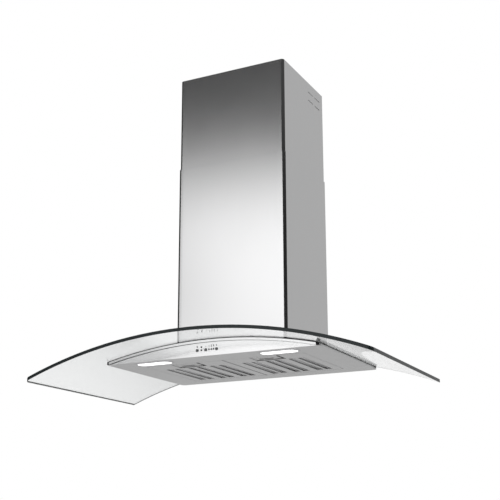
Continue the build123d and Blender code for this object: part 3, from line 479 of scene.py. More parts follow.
board = finish("board", circuit_board, {})
indicator_lens = finish("indicator_lens", smoked, {"Specular IOR Level": 0.3})
LAMP_GLOW = 1.5
lamp_lens = finish("lamp_lens", frosted_glow, {"Emission Strength": LAMP_GLOW})
print("lamp glow", LAMP_GLOW)

# %% [markdown]
# ## Dressing the frame
# Most of the inner parts keep their engineering meshes, whose slots are already named after their
# materials. One table gives each name its finish. The arched plate gets the fascia's steel, a lighter
# copy of the stainless that paints light on its folded front edge, so it shows as a bright lip above the
# fascia.

# %% Dress the nodes of the frame
FINISHES = {
    "canopy_glass": glass, "black_seal": seal_rubber, "zinc_screw": zinc, "stainless": steel_across,
    "black_plastic": black_plastic, "board": board, "indicator_lens": indicator_lens,
    "driver_case": driver_case, "galvanised": galvanised, "grey_plastic": grey_plastic,
    "wheel_plastic": wheel_plastic, "motor_metal": motor_metal, "button_metal": button_metal,
    "lamp_bezel": lamp_bezel, "lamp_lens": lamp_lens, "filter_steel": steel_across,
    "mesh_aluminium": aluminium, "latch_steel": latch_steel}
for node in NODES.values():
    for slot in node.material_slots:
        slot.material = FINISHES[slot.material.name.split(".")[0]]
NODES["glass_support"].material_slots[0].material = fascia_steel_painted_light
print("dressed", len(NODES), "nodes")

# %% [markdown]
# ## From a bmesh to a finished piece
# Each new piece is shaped as a bmesh and then finished in the same way: it becomes an object at
# the origin, it may get a sheet's thickness and rounded edges from modifiers, and it says which
# body it rides on and which node it stands for. Even the sharpest real edge has a small radius,
# and that radius is what catches the light.

# %% Finish a piece
SHEET = 0.001            # stainless sheet
SMOOTH_ANGLE = 30        # degrees; sharper edges stay crisp
BEVEL_ANGLE = 40         # degrees; sharper edges are rounded
EDGE = 0.0002            # radius of a sheet's cut edges
NEAR = 1e-5              # places closer than this are the same place


def modify(made, kind, **settings):
    modifier = made.modifiers.new(kind.lower(), kind)
    for key, value in settings.items():
        setattr(modifier, key, value)


def settle(made):
    """Bakes the modifiers so far into the mesh."""
    graph = bpy.context.evaluated_depsgraph_get()
    old = made.data
    made.data = bpy.data.meshes.new_from_object(made.evaluated_get(graph))
    made.modifiers.clear()
    bpy.data.meshes.remove(old)


def round_edges(made, radius, segments=2, material=-1):
    made.data.shade_smooth()
    made.data.set_sharp_from_angle(angle=radians(SMOOTH_ANGLE))
    if radius:
        modify(made, "BEVEL", width=radius, segments=segments, limit_method="ANGLE",
               angle_limit=radians(BEVEL_ANGLE), material=material)
    modify(made, "WEIGHTED_NORMAL", keep_sharp=True)


def thicken(made, thickness):
    """Gives an open sheet its wall, on the inner side."""
    modify(made, "SOLIDIFY", thickness=thickness, offset=-1, use_even_offset=True)
    settle(made)


def combine(made, shape, operation):
    """Unites a closed shape with a piece, or cuts it out of the piece."""
    other = make_object("other", shape, [])
    modify(made, "BOOLEAN", operation=operation, solver="EXACT", object=other)
    settle(made)
    bpy.data.objects.remove(other)


def weld(made, shape):
    combine(made, shape, "UNION")


def cut_out(made, shape):
    combine(made, shape, "DIFFERENCE")


def face_outwards(shape):
    bmesh.ops.recalc_face_normals(shape, faces=shape.faces)


def new_verts(result):
    """The vertices among what an operator made."""
    return [v for v in result["geom"] if isinstance(v, bmesh.types.BMVert)]


def join(shape, *others):
    """Adds other shapes to one bmesh."""
    for other in others:
        mesh = bpy.data.meshes.new("part")
        other.to_mesh(mesh)
        other.free()
        shape.from_mesh(mesh)
        bpy.data.meshes.remove(mesh)
    return shape


def assemble(made, body, slot, *stands_for):
    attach(made, body)
    if stands_for:
        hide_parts(*stands_for)
    print(made.name, "on", body, "for", *stands_for)


# %% [markdown]
# ## The arch
# Glass, seal and body share one bend, about an axis along Y. One function gives the height of
# any of their faces, so the pieces stay concentric as the real ones do.

# %% The arch
GLASS_RADIUS = 1.238     # of the glass's upper face
GLASS_THICK = 0.008
SEAT_GAP = 0.0002
WALL_DEPTH = 0.0112      # top of the body's walls, below the glass's upper face
GLASS_LOW, GLASS_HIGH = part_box("glass_canopy")
GLASS_HALF = GLASS_HIGH.x
ARCH_Z = GLASS_LOW.z - sqrt((GLASS_RADIUS - GLASS_THICK)**2 - GLASS_HALF**2)
ARCH_STEP = 0.009        # width of one flat facet of a bent face


def arch(x, depth):
    """Height at x of the arch that lies a depth below the glass's upper face."""
    return ARCH_Z + sqrt((GLASS_RADIUS - depth)**2 - x**2)


def cut_line(shape, axis, value, parts=None):
    """Cuts a shape, or some parts of it, where X, Y or Z has one value."""
    place, normal = Vector(), Vector()
    place[axis], normal[axis] = value, 1
    parts = parts or [*shape.verts, *shape.edges, *shape.faces]
    bmesh.ops.bisect_plane(shape, geom=parts, plane_co=place, plane_no=normal)


def slice_across(shape, half, step=ARCH_STEP):
    """Cuts a shape into strips along X, so that it can follow the arch."""
    for cut in range(1, round(2 * half / step)):
        cut_line(shape, 0, cut * step - half)


def outline(shape, plan, z):
    """A flat face from its corners in plan."""
    shape.faces.new([shape.verts.new((x, y, z)) for x, y in plan])


def round_corners(shape, corners, radius, segments=8):
    """Rounds corners of a flat face, given their X and Y."""
    chosen = [v for v in shape.verts if any((v.co.xy - Vector(c)).length < NEAR for c in corners)]
    bmesh.ops.bevel(shape, geom=chosen, offset=radius, segments=segments, profile=0.5, affect="VERTICES",
                    material=-1)


print("arch centre at", round(ARCH_Z, 4))

# %% [markdown]
# ## Glass canopy
# The canopy is one sheet, 900 mm wide, with rounded front corners and a notch at the wall for the
# motor housing. It could be a bent grid, but a flat outline cut into strips keeps the exact plan
# of the glass: the strips are lifted to the arch, and the ground edge gets its own finish.

# %% Glass canopy
GLASS_CORNER = 0.012
NOTCH_GAP = 0.004        # glass to the motor housing
NOTCH_CORNER = 0.015
ARRIS = 0.0005           # ground bevel of the edge
BUSH_HOLE = 0.00605      # radius of the holes for the bushes
BUSH_FLANGE = 0.0085     # radius of the bushes' rims


def glass_canopy():
    half, front = GLASS_HALF, GLASS_LOW.y
    housing_low, housing_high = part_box("motor_housing")
    notch, notch_front = housing_high.x + NOTCH_GAP, housing_low.y - NOTCH_GAP
    shape = bmesh.new()
    plan = [(-half, front), (half, front), (half, 0), (notch, 0), (notch, notch_front),
            (-notch, notch_front), (-notch, 0), (-half, 0)]
    outline(shape, plan, 0)
    round_corners(shape, plan[:2], GLASS_CORNER)
    round_corners(shape, plan[4:6], NOTCH_CORNER)
    slice_across(shape, half)
    lower = bmesh.ops.extrude_face_region(shape, geom=shape.faces[:])
    for vert in shape.verts:
        vert.co.z = arch(vert.co.x, 0)
    for vert in new_verts(lower):
        vert.co.z = arch(vert.co.x, GLASS_THICK)
    face_outwards(shape)
    for face in shape.faces:
        face.material_index = int(abs(face.normal.z) < 0.5)
    canopy = make_object("canopy", shape, [glass, glass_edge])
    bush_low, bush_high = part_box("glass_bushes")
    for x in (bush_low.x + BUSH_FLANGE, bush_high.x - BUSH_FLANGE):
        for y in (bush_low.y + BUSH_FLANGE, bush_high.y - BUSH_FLANGE):
            hole = bmesh.new()
            place = Matrix.Translation((x, y, arch(x, GLASS_THICK / 2)))
            bmesh.ops.create_cone(hole, cap_ends=True, segments=24, radius1=BUSH_HOLE, radius2=BUSH_HOLE,
                                  depth=5 * GLASS_THICK, matrix=place)
            cut_out(canopy, hole)
    round_edges(canopy, ARRIS, segments=3, material=1)
    assemble(canopy, "root", "canopy_glass", "glass_canopy")


glass_canopy()

# %% [markdown]
# ## Chimney covers
# Each cover is one stainless sheet folded into a U, open at the wall, with small flanges there.
# The lower one stands on the glass, so its foot follows the arch. The upper one slides in it and
# has two columns of louvres near the top of each side: a narrow slit with a blade behind it, so
# that air passes and the eye doesn't. A folded strip is the natural way to make the covers:
# extrude the plan of the fold upwards, round its bends, then give the sheet its wall.

# %% Chimney covers
FLANGE = 0.020
BEND = 0.008             # outer radius of the two front bends
REAR_BEND = 0.0015
COVER_EDGE = 0.00025
VENT_WIDTH, VENT_HEIGHT = 0.034, 0.003
VENT_PITCH = (0.044, 0.024)          # along Y and Z
VENT_MARGIN = 0.024      # from the wall, and from the top of the cover
BLADE_DEPTH, BLADE_DROP, BLADE_THICK = 0.006, 0.005, 0.0014


def raise_edges(shape, edges, height):
    top = bmesh.ops.extrude_edge_only(shape, edges=edges)
    bmesh.ops.translate(shape, verts=new_verts(top), vec=(0, 0, height))


def folded_sheet(corners, low, high, bends):
    """Sheet whose fold in plan runs through the corners, from one height up to another."""
    shape = bmesh.new()
    foot = [shape.verts.new((x, y, low)) for x, y in corners]
    edges = [shape.edges.new(pair) for pair in zip(foot, foot[1:])]
    raise_edges(shape, edges, high - low)
    for places, radius in bends:
        upright = [e for e in shape.edges if abs(e.verts[0].co.z - e.verts[1].co.z) > NEAR
                   and any((e.verts[0].co.xy - Vector(p)).length < NEAR for p in places)]
        bmesh.ops.bevel(shape, geom=upright, offset=radius, segments=6, profile=0.5, affect="EDGES",
                        material=-1)
    front = min(shape.faces, key=lambda f: f.calc_center_median().y)
    front.normal_update()
    if front.normal.y > 0:
        bmesh.ops.reverse_faces(shape, faces=shape.faces)
    return shape


def cover_shape(node):
    """Open sheet on the outer faces of a chimney cover's node."""
    low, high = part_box(node)
    half, front, rear = high.x, low.y, high.y
    lip = half - FLANGE
    corners = [(-lip, rear), (-half, rear), (-half, front), (half, front), (half, rear), (lip, rear)]
    bends = [([(-half, front), (half, front)], BEND), ([(-half, rear), (half, rear)], REAR_BEND)]
    return folded_sheet(corners, low.z, high.z, bends), low, high


def lower_cover():
    shape, low, high = cover_shape("lower_chimney")
    slice_across(shape, high.x, 2 * ARCH_STEP)
    for vert in shape.verts:
        if vert.co.z < low.z + NEAR:
            vert.co.z = arch(vert.co.x, -SEAT_GAP)
    made = make_object("lower_cover", shape, [steel_upright])
    thicken(made, SHEET)
    round_edges(made, COVER_EDGE)
    assemble(made, "root", "stainless", "lower_chimney")


def vent_spans(cover_top):
    """The Y and Z spans of the vents."""
    for column in (0, 1):
        for row in (0, 1):
            rear = -VENT_MARGIN - column * VENT_PITCH[0]
            top = cover_top - VENT_MARGIN - row * VENT_PITCH[1]
            yield (rear - VENT_WIDTH, rear), (top - VENT_HEIGHT, top)


def louvre_blade(side, face, span, top):
    """Blade that starts in the sheet above a slit and slopes inwards and down."""
    blade = bmesh.new()
    inner = face - BLADE_DEPTH
    section = [(face, top), (face, top + BLADE_THICK), (inner, top + BLADE_THICK - BLADE_DROP),
               (inner, top - BLADE_DROP)]
    blade.faces.new([blade.verts.new((side * x, span[0], z)) for x, z in section])
    far = bmesh.ops.extrude_face_region(blade, geom=blade.faces[:])
    bmesh.ops.translate(blade, verts=new_verts(far), vec=(0, span[1] - span[0], 0))
    face_outwards(blade)
    return blade


def side_faces(shape):
    shape.normal_update()
    return [f for f in shape.faces if abs(f.normal.x) > 0.9]


def upper_cover():
    shape, _, high = cover_shape("upper_chimney")
    vents = list(vent_spans(high.z))
    for spans in vents:
        for axis, values in zip((1, 2), spans):
            for value in values:
                sides = side_faces(shape)
                edges = {e for f in sides for e in f.edges}
                verts = {v for f in sides for v in f.verts}
                cut_line(shape, axis, value, [*sides, *edges, *verts])
    holes = [f for f in side_faces(shape) if any(
        all(span[0] < f.calc_center_median()[axis] < span[1] for axis, span in zip((1, 2), spans))
        for spans in vents)]
    bmesh.ops.delete(shape, geom=holes, context="FACES")
    made = make_object("upper_cover", shape, [steel_upright])
    thicken(made, SHEET)
    blades = [louvre_blade(side, high.x - SHEET / 2, span, top)
              for side in (-1, 1) for span, (_, top) in vents]
    weld(made, join(*blades))
    round_edges(made, 0)
    assemble(made, "chimney_upper", "stainless", "upper_chimney")


lower_cover()
upper_cover()

# %% [markdown]
# ## Body under the glass
# The body is a shallow box: a flat tray with the openings for filters and lamps, and a fascia
# that wraps round its front corners. Both are folded sheet with walls that end at the arch. The
# fascia is a folded strip like the covers. The tray starts as its floor. Some of its outer edges
# and of the opening's edges are extruded upwards, so that one sheet makes floor, walls and rim.

# %% Front fascia
BODY_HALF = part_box("lower_tray")[1].x
FASCIA_Y, FASCIA_REAR = (corner.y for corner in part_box("front_fascia"))
BODY_CORNER = 0.009
CONTROL_Z = UNDERSIDE + 0.0145
BUTTON_RADIUS = 0.0035
FIT = 0.0003             # gap round a part that fits a hole
LED_RADIUS = 0.00145
WALL_ROOM = 0.05         # walls start this high, and are then ended at the arch
LED_PLACES = [(-0.0175, 0.0218), (-0.0175, 0.0145), (0.0032, 0.0148), (0.0095, 0.0148), (0.0151, 0.0148)]
BUTTONS = ["button_1", "button_2", "button_3"]


def middle_x(node):
    low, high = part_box(node)
    return (low.x + high.x) / 2


def front_peg(x, z, radius, front, rear, segments=32):
    """Round peg along Y."""
    peg = bmesh.new()
    place = Matrix.Translation((x, (front + rear) / 2, z)) @ Matrix.Rotation(radians(90), 4, "X")
    bmesh.ops.create_cone(peg, cap_ends=True, segments=segments, radius1=radius, radius2=radius,
                          depth=rear - front, matrix=place)
    return peg


def wall_to_arch(shape):
    """Ends the top of every upright sheet at the arch."""
    top = max(v.co.z for v in shape.verts)
    for vert in shape.verts:
        if vert.co.z > top - NEAR:
            vert.co.z = arch(vert.co.x, WALL_DEPTH)


def fascia():
    bends = [(-BODY_HALF, FASCIA_Y), (BODY_HALF, FASCIA_Y)]
    corners = [(-BODY_HALF, FASCIA_REAR), *bends, (BODY_HALF, FASCIA_REAR)]
    shape = folded_sheet(corners, UNDERSIDE, UNDERSIDE + WALL_ROOM, [(bends, BODY_CORNER)])
    slice_across(shape, BODY_HALF)
    wall_to_arch(shape)
    # The fascia gets the lighter copy of the stainless: painted light.
    made = make_object("fascia", shape, [fascia_steel_painted_light])
    thicken(made, SHEET)
    holes = [(middle_x(node), CONTROL_Z, BUTTON_RADIUS + FIT, 32) for node in BUTTONS]
    holes += [(x, UNDERSIDE + z, LED_RADIUS, 20) for x, z in LED_PLACES]
    for x, z, radius, segments in holes:
        cut_out(made, front_peg(x, z, radius, FASCIA_Y - SHEET, FASCIA_Y + 3 * SHEET, segments))
    round_edges(made, EDGE)
    assemble(made, "root", "stainless", "front_fascia")


fascia()

# %% Bottom tray
FASCIA_SEAM = 0.0011     # the tray ends this far behind the fascia's face
RIM_TOP = UNDERSIDE + 0.009
TAB_ROOM = 0.0015        # behind the filters
FILTER_GAP = 0.0008
FILTER_LOW, FILTER_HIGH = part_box("filter_left_frame")
OPENING_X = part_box("filter_right_frame")[1].x + FILTER_GAP
FILTER_FRONT = FILTER_LOW.y
FILTER_REAR = -0.054     # the tabs reach on behind it
OPENING_FRONT, OPENING_REAR = FILTER_FRONT - FILTER_GAP, FILTER_REAR + TAB_ROOM
LAMP_LOW, LAMP_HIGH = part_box("lamp_right_holder")
LAMP_BEZEL = 0.0015
LAMP_MIDDLE = ((LAMP_LOW + LAMP_HIGH) / 2).xy
LAMP_HALF = ((LAMP_HIGH - LAMP_LOW) / 2).xy - Vector((LAMP_BEZEL, LAMP_BEZEL))
LAMP_CORNER = 0.018


def rounded_plate(middle, half, corner, z, segments=8):
    """Flat face in plan with rounded corners."""
    shape = bmesh.new()
    corners = [(middle[0] + sx * half[0], middle[1] + sy * half[1])
               for sx, sy in ((-1, -1), (1, -1), (1, 1), (-1, 1))]
    outline(shape, corners, z)
    round_corners(shape, corners, corner, segments)
    return shape


def raise_face(shape, height):
    """Turns a flat face into a closed block."""
    top = bmesh.ops.extrude_face_region(shape, geom=shape.faces[:])
    bmesh.ops.translate(shape, verts=new_verts(top), vec=(0, 0, height))
    face_outwards(shape)
    return shape


def lamp_plate(side, wider, z, segments=10):
    """Flat face like a lamp's opening, but wider all round."""
    half = [reach + wider for reach in LAMP_HALF]
    return rounded_plate((side * LAMP_MIDDLE.x, LAMP_MIDDLE.y), half, LAMP_CORNER + wider, z, segments)


def face_down(shape):
    """Turns the outer side of a sheet's floor to the room below."""
    face_outwards(shape)
    if shape.faces[:][0].normal.z > 0:
        bmesh.ops.reverse_faces(shape, faces=shape.faces)


def tray():
    half, inset, step = BODY_HALF, BODY_HALF - FASCIA_SEAM, FASCIA_REAR
    front = FASCIA_Y + FASCIA_SEAM
    shape = bmesh.new()
    plan = [(-inset, front), (inset, front), (inset, step), (half, step), (half, 0), (-half, 0),
            (-half, step), (-inset, step)]
    outline(shape, plan, UNDERSIDE)
    round_corners(shape, plan[:2], BODY_CORNER - FASCIA_SEAM)
    round_corners(shape, plan[4:6], BODY_CORNER)
    for axis, value in ((0, -OPENING_X), (0, OPENING_X), (1, OPENING_FRONT), (1, OPENING_REAR)):
        cut_line(shape, axis, value)
    inside = [f for f in shape.faces if abs(f.calc_center_median().x) < OPENING_X
              and OPENING_FRONT < f.calc_center_median().y < OPENING_REAR]
    bmesh.ops.delete(shape, geom=inside, context="FACES")
    face_down(shape)
    rim, walls = [], []
    for edge in [e for e in shape.edges if e.is_boundary]:
        reach = max(abs(v.co.x) for v in edge.verts)
        near, far = sorted(v.co.y for v in edge.verts)
        if reach < OPENING_X + NEAR and OPENING_FRONT - NEAR < near < OPENING_REAR - NEAR:
            rim.append(edge)
        elif reach > OPENING_X + NEAR and near > step - NEAR and far > step + NEAR or near > -NEAR:
            walls.append(edge)
    raise_edges(shape, rim, RIM_TOP - UNDERSIDE)
    raise_edges(shape, walls, WALL_ROOM)
    slice_across(shape, half, 2 * ARCH_STEP)
    wall_to_arch(shape)
    made = make_object("tray", shape, [steel_across])
    thicken(made, SHEET)
    for side in (-1, 1):
        cut_out(made, raise_face(lamp_plate(side, 0, UNDERSIDE - SHEET, 8), 3 * SHEET))
    round_edges(made, EDGE)
    assemble(made, "root", "stainless", "lower_tray")


tray()

# %% [markdown]
# ## Grease filters
# Two lift-out filters fill the opening. Each is a stainless tray with three pairs of slots, a
# recess for its latch, two tabs that hook over the rear edge, and pleated aluminium mesh inside.
# The slots are punched and their edges turned inwards, so each gets a small collar. One function
# makes both filters, because they differ only in their place.

# %% Filter frames
FILTER_HALF = (FILTER_HIGH.x - FILTER_LOW.x) / 2
FILTER_TOP = FILTER_HIGH.z
FILTER_CORNER = 0.003
SLOT_HALF = Vector((0.00875, 0.0905))
SLOT_REAR = 0.013
SLOT_CORNER = 0.0015
SLOT_SPREAD, PAIR_PITCH = 0.025, 0.0625
COLLAR_WALL, COLLAR_HEIGHT = 0.0006, 0.0026
POCKET_SHIFT = 0.0015    # to the right of the filter's middle
POCKET_HALF = 0.0385
POCKET = (FILTER_FRONT + 0.002, FILTER_FRONT + 0.050)
POCKET_ROOF = UNDERSIDE + 0.005
TAB_HALF, TAB_SPREAD = 0.012, 0.060
TAB_Z = UNDERSIDE + 0.0013
TAB_LAP = 0.0075
TONGUE_HALF = 0.0153
TONGUE_Z = (UNDERSIDE + 0.0004, UNDERSIDE + 0.0025)
SKIN = 0.00005           # a face higher than this above the brushed one gets the dark mill grey of painted shade


def block(middle, half, ys, zs):
    """Closed block: half its width on each side of a middle, and its spans along Y and Z."""
    low, high = Vector((middle - half, ys[0], zs[0])), Vector((middle + half, ys[1], zs[1]))
    shape = bmesh.new()
    bmesh.ops.create_cube(shape, size=1, matrix=Matrix.LocRotScale((low + high) / 2, None, high - low))
    return shape


def slot_places(middle):
    y = FILTER_REAR - SLOT_REAR - SLOT_HALF.y
    for pair in (-1, 0, 1):
        for side in (-1, 1):
            yield middle + pair * PAIR_PITCH + side * SLOT_SPREAD / 2, y


def slot_collar(place):
    """Turned-in edge of a slot."""
    ring = rounded_plate(place, SLOT_HALF, SLOT_CORNER, UNDERSIDE + SHEET / 2, 4)
    raise_edges(ring, ring.edges[:], COLLAR_HEIGHT)
    floor = [f for f in ring.faces if abs(f.normal.z) > 0.9]
    bmesh.ops.delete(ring, geom=floor, context="FACES_ONLY")
    face_outwards(ring)
    bmesh.ops.solidify(ring, geom=ring.faces[:], thickness=COLLAR_WALL)
    face_outwards(ring)
    return ring


def dull_above(made, level):
    """Gives every face but the brushed one at this level the dark mill grey, which also paints the shade
    in recesses.
    """
    for face in made.data.polygons:
        face.material_index = int(face.center.z > level + SKIN)


def filter_frame(side, middle):
    name = f"filter_{side}"
    half = (FILTER_HALF, (FILTER_REAR - FILTER_FRONT) / 2)
    shape = rounded_plate((middle, FILTER_FRONT + half[1]), half, FILTER_CORNER, UNDERSIDE, 5)
    raise_edges(shape, shape.edges[:], FILTER_TOP - UNDERSIDE)
    face_down(shape)
    made = make_object(name + "_tray", shape, [steel_across, mill_and_shade_steel])
    thicken(made, SHEET)
    for place in slot_places(middle):
        opening = rounded_plate(place, SLOT_HALF, SLOT_CORNER, UNDERSIDE - SHEET, 4)
        cut_out(made, raise_face(opening, 3 * SHEET))
    pocket = middle + POCKET_SHIFT
    cut_out(made, block(pocket, POCKET_HALF, POCKET, (UNDERSIDE - SHEET, UNDERSIDE + 2 * SHEET)))
    cup = block(pocket, POCKET_HALF, POCKET, (UNDERSIDE, POCKET_ROOF))
    bmesh.ops.delete(cup, geom=[f for f in cup.faces if f.normal.z < -0.9], context="FACES_ONLY")
    bmesh.ops.reverse_faces(cup, faces=cup.faces)
    bmesh.ops.solidify(cup, geom=cup.faces[:], thickness=SHEET)
    face_outwards(cup)
    tabs = [block(middle + x, TAB_HALF, (FILTER_REAR - SHEET, OPENING_REAR + TAB_LAP),
                  (TAB_Z, TAB_Z + SHEET)) for x in (-TAB_SPREAD, TAB_SPREAD)]
    weld(made, join(cup, *tabs, *[slot_collar(place) for place in slot_places(middle)]))
    cut_out(made, block(pocket, TONGUE_HALF, (FILTER_FRONT - SHEET, POCKET[0] + SHEET / 2), TONGUE_Z))
    # Collars, cup, tabs and inner walls get painted shade: the dark mill grey.
    dull_above(made, UNDERSIDE)
    round_edges(made, EDGE)
    assemble(made, name, "filter_steel", name + "_frame")


for side in ("left", "right"):
    filter_frame(side, middle_x(f"filter_{side}_frame"))

# %% [markdown]
# ## What the filters hold
# The mesh is knitted aluminium, pleated so that more of it meets the air. Its pleats are a grid
# whose vertices follow a cosine. Real wires would be far too many, so the knit is a pattern of
# crossed wires in the material.

# %% Knitted aluminium
KNIT_PITCH = 0.0022      # between wires


def knitted(tree):
    x, y, _ = tree.parts(tree.place())
    turn = pi / KNIT_PITCH
    wires = ((x + y) * turn).sine().size().larger(((x - y) * turn).sine().size())
    wire = wires.smooth(0.80, 0.97)
    return {"Base Color": tree.mix(wire, (0.22, 0.22, 0.222), (0.56, 0.56, 0.565)),
            "Roughness": 0.34 + tree.noise(60) * 0.12, "Normal": tree.bump(wire, 0.5, 0.0004)}


knitted_aluminium = finish("knitted_aluminium", knitted, {"Metallic": 0.6})
PLEATS = 26
STEPS_IN_PLEAT = 6
MESH_THICK = 0.0006


def pleated_mesh(side):
    name = f"filter_{side}"
    low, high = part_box(name + "_mesh")
    rise = high.z - low.z - SHEET
    shape = bmesh.new()
    bmesh.ops.create_grid(shape, x_segments=PLEATS * STEPS_IN_PLEAT, y_segments=2, size=0.5)
    bmesh.ops.scale(shape, verts=shape.verts, vec=(high.x - low.x, high.y - low.y, 1))
    middle = (low + high) / 2
    bmesh.ops.translate(shape, verts=shape.verts, vec=(middle.x, middle.y, low.z + SHEET))
    for vert in shape.verts:
        share = (vert.co.x - low.x) / (high.x - low.x)
        vert.co.z += rise * (0.5 - 0.5 * cos(2 * pi * PLEATS * share))
    made = make_object(name + "_knit", shape, [knitted_aluminium])
    modify(made, "SOLIDIFY", thickness=MESH_THICK, offset=-1)
    settle(made)
    made.data.shade_smooth()
    assemble(made, name, "mesh_aluminium", name + "_mesh")


for side in ("left", "right"):
    pleated_mesh(side)

# %% [markdown]
# ## Filter latches
# The latch is a pressed plate that slides in the filter's pocket, with a finger hole, a folded
# grip behind it and a tongue that enters the tray. A flat plate, a cut and two small blocks make it.

# %% Filter latches
LATCH_Z = UNDERSIDE + 0.0007
LATCH_THICK = 0.0015
LATCH_HALF = 0.0355
LATCH_CORNER, LATCH_EDGE = 0.0012, 0.0003
LATCH_LEAD = 0.004       # pocket's front edge to the plate, beside the tongue
FINGER_HALF = Vector((0.0195, 0.005))
FINGER_FRONT = 0.0263    # finger hole behind the pocket's front edge
FINGER_CORNER = 0.002
GRIP_HEIGHT = 0.003


def latch(side):
    name = f"latch_{side}"
    low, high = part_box(f"filter_{side}_latch")
    front, rear = POCKET[0] + LATCH_LEAD, high.y
    middle = (low.x + high.x) / 2
    half = (LATCH_HALF, (rear - front) / 2)
    plate = rounded_plate((middle, (front + rear) / 2), half, LATCH_CORNER, LATCH_Z, 3)
    made = make_object(name + "_plate", raise_face(plate, LATCH_THICK), [latch_steel, mill_and_shade_steel])
    tongue = block(middle, TONGUE_HALF - FIT, (low.y, front + SHEET), (LATCH_Z, LATCH_Z + LATCH_THICK))
    finger = POCKET[0] + FINGER_FRONT + FINGER_HALF.y
    hole = rounded_plate((middle, finger), FINGER_HALF, FINGER_CORNER, LATCH_Z - SHEET, 4)
    cut_out(made, raise_face(hole, 4 * SHEET))
    finger_rear = finger + FINGER_HALF.y
    grip = block(middle, FINGER_HALF.x - SHEET, (finger_rear - SHEET, finger_rear + SHEET / 2),
                 (LATCH_Z, LATCH_Z + GRIP_HEIGHT))
    weld(made, join(tongue, grip))
    # The latch's faces inside the pocket get painted shade: the dark mill grey.
    dull_above(made, LATCH_Z)
    round_edges(made, LATCH_EDGE)
    assemble(made, name, "latch_steel", f"filter_{side}_latch")


for side in ("left", "right"):
    latch(side)

# %% [markdown]
# ## Lamps
# Each lamp is a cup that is pushed up through the tray, with a narrow bezel and a frosted lens
# that bulges a little. The same rounded plate makes them all: raised for bezel and cup, cut
# through for the lens, inset and pushed out for its crown.

# %% Lamps
LENS_SEAT = 0.004        # bezel's width inside the opening
BEZEL_EDGE = 0.0004
LENS_CROWN = 0.0004
LENS_SLOPE = 0.004       # width of the crown's sloping edge
LENS_THICK = 0.0025


def lamp(name, side):
    shape = raise_face(lamp_plate(side, LAMP_BEZEL, LAMP_LOW.z), UNDERSIDE - LAMP_LOW.z)
    holder = make_object(name + "_housing", shape, [lamp_bezel])
    cup_foot = UNDERSIDE - SHEET / 2
    weld(holder, raise_face(lamp_plate(side, -FIT, cup_foot), LAMP_HIGH.z - cup_foot))
    inside = lamp_plate(side, -LENS_SEAT, LAMP_LOW.z - SHEET)
    cut_out(holder, raise_face(inside, LAMP_HIGH.z - LAMP_LOW.z))
    round_edges(holder, BEZEL_EDGE)
    assemble(holder, "root", "lamp_bezel", f"lamp_{name}_holder")
    flat = lamp_plate(side, -LENS_SEAT, LAMP_LOW.z + LENS_CROWN)
    bmesh.ops.inset_region(flat, faces=flat.faces[:], thickness=LENS_SLOPE, depth=0)
    raise_face(flat, LENS_THICK - LENS_CROWN)
    crown = [v for v in flat.verts if v.co.z < LAMP_LOW.z + LENS_CROWN + NEAR and not any(
        abs(f.normal.z) < 0.5 for f in v.link_faces)]
    bmesh.ops.translate(flat, verts=crown, vec=(0, 0, -LENS_CROWN))
    lens = make_object(name + "_lens", flat, [lamp_lens])
    round_edges(lens, 0)
    assemble(lens, "root", "lamp_lens", f"lamp_{name}_lens")


for name, side in (("left", -1), ("right", 1)):
    lamp(name, side)

# %% [markdown]
# ## Push buttons
# The buttons are turned parts: a dished cap, a flange behind the fascia and a stem. So each is one
# profile spun about its axis.

# %% Push buttons
BUTTON_LOW, BUTTON_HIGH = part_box("button_1")
FLANGE_RADIUS, FLANGE_THICK = 0.0047, 0.0012
STEM_RADIUS = 0.0015
DISH = 0.00025           # hollow of the cap, for the fingertip
CAP = [(0, DISH), (0.0016, DISH * 0.6), (0.0027, 0), (0.0031, 0.0001), (BUTTON_RADIUS, 0.0005)]


def button(node):
    front, rear = BUTTON_LOW.y, BUTTON_HIGH.y
    back = FASCIA_Y + SHEET + FIT
    profile = [(radius, front + depth) for radius, depth in CAP]
    profile += [(BUTTON_RADIUS, back), (FLANGE_RADIUS, back), (FLANGE_RADIUS, back + FLANGE_THICK),
                (STEM_RADIUS, back + FLANGE_THICK), (STEM_RADIUS, rear), (0, rear)]
    shape = bmesh.new()
    verts = [shape.verts.new((middle_x(node) + radius, y, CONTROL_Z)) for radius, y in profile]
    edges = [shape.edges.new(pair) for pair in zip(verts, verts[1:])]
    bmesh.ops.spin(shape, geom=verts + edges, cent=(middle_x(node), 0, CONTROL_Z), axis=(0, 1, 0),
                   angle=2 * pi, steps=32, use_merge=True)
    bmesh.ops.remove_doubles(shape, verts=shape.verts, dist=1e-6)
    face_outwards(shape)
    made = make_object(node.replace("button", "push_cap"), shape, [button_metal])
    round_edges(made, 0)
    assemble(made, node.replace("button", "push_button"), "button_metal", node)


for node in BUTTONS:
    button(node)

# %% [markdown]
# ## Rims of the indicators
# Each light pipe comes through the steel in a thin black rim, which hides the edge of the hole.
# A rim is a short tube, so it is made the simple way: a peg with a smaller peg cut out of it.

# %% Rims
RIM_RADIUS, RIM_PROUD = 0.0021, 0.0002


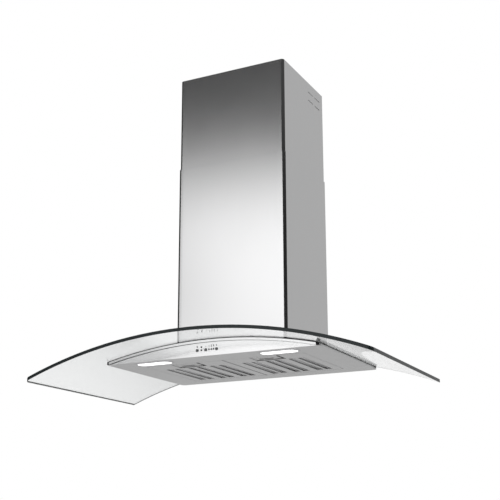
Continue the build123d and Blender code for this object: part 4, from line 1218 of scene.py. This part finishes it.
def take_shape(made):
    """Turns an object back into a bmesh."""
    bpy.context.view_layer.update()
    graph = bpy.context.evaluated_depsgraph_get()
    mesh = bpy.data.meshes.new_from_object(made.evaluated_get(graph))
    bpy.data.objects.remove(made)
    shape = bmesh.new()
    shape.from_mesh(mesh)
    bpy.data.meshes.remove(mesh)
    return shape


def indicator_rim(x, z):
    rim = make_object("rim", front_peg(x, z, RIM_RADIUS, FASCIA_Y - RIM_PROUD, FASCIA_Y), [])
    cut_out(rim, front_peg(x, z, LED_RADIUS, FASCIA_Y - SHEET, FASCIA_Y + SHEET, 20))
    return take_shape(rim)


rims = join(*[indicator_rim(x, UNDERSIDE + z) for x, z in LED_PLACES])
assemble(make_object("indicator_rims", rims, [black_plastic]), "root", "black_plastic")

# %% [markdown]
# ## Marks on the fascia
# Small printed marks tell the buttons apart: a nought, a minus and a plus, and the numbers of
# the fan's speeds over their lights. A text object gives clean figures. It becomes a mesh with a
# little thickness, which stands a hair proud of the steel, and is then turned to face the cook.

# %% Marks
MARK_SIZE = 0.0068
MARK_BOLD = 0.00028      # added round each stroke
MARK_RISE = 0.0086       # above the middle of the buttons
MARK_PROUD = 0.00004
MARKS = [("0", middle_x("button_1")), ("-", middle_x("button_2")), ("+", middle_x("button_3"))]
MARKS += [(str(number), x) for number, (x, z) in enumerate(LED_PLACES[2:], start=1)]


def figure(text, x):
    """One printed figure as a thin solid, facing the cook."""
    curve = bpy.data.curves.new("figure", "FONT")
    curve.body = text
    curve.size = MARK_SIZE
    curve.extrude = MARK_PROUD
    curve.offset = MARK_BOLD
    curve.resolution_u = 3
    curve.align_x, curve.align_y = "CENTER", "CENTER"
    shape = take_shape(add_object("figure", curve))
    bmesh.ops.remove_doubles(shape, verts=shape.verts, dist=1e-7)
    place = Matrix.Translation((x, FASCIA_Y, CONTROL_Z + MARK_RISE))
    bmesh.ops.transform(shape, matrix=place @ Matrix.Rotation(radians(90), 4, "X"), verts=shape.verts)
    return shape


def control_marks():
    made = make_object("control_marks", join(*[figure(text, x) for text, x in MARKS]), [mark_ink])
    assemble(made, "root", "black_plastic")


mark_ink = moulded("mark_ink", (0.03, 0.03, 0.032), rough=0.5)
control_marks()
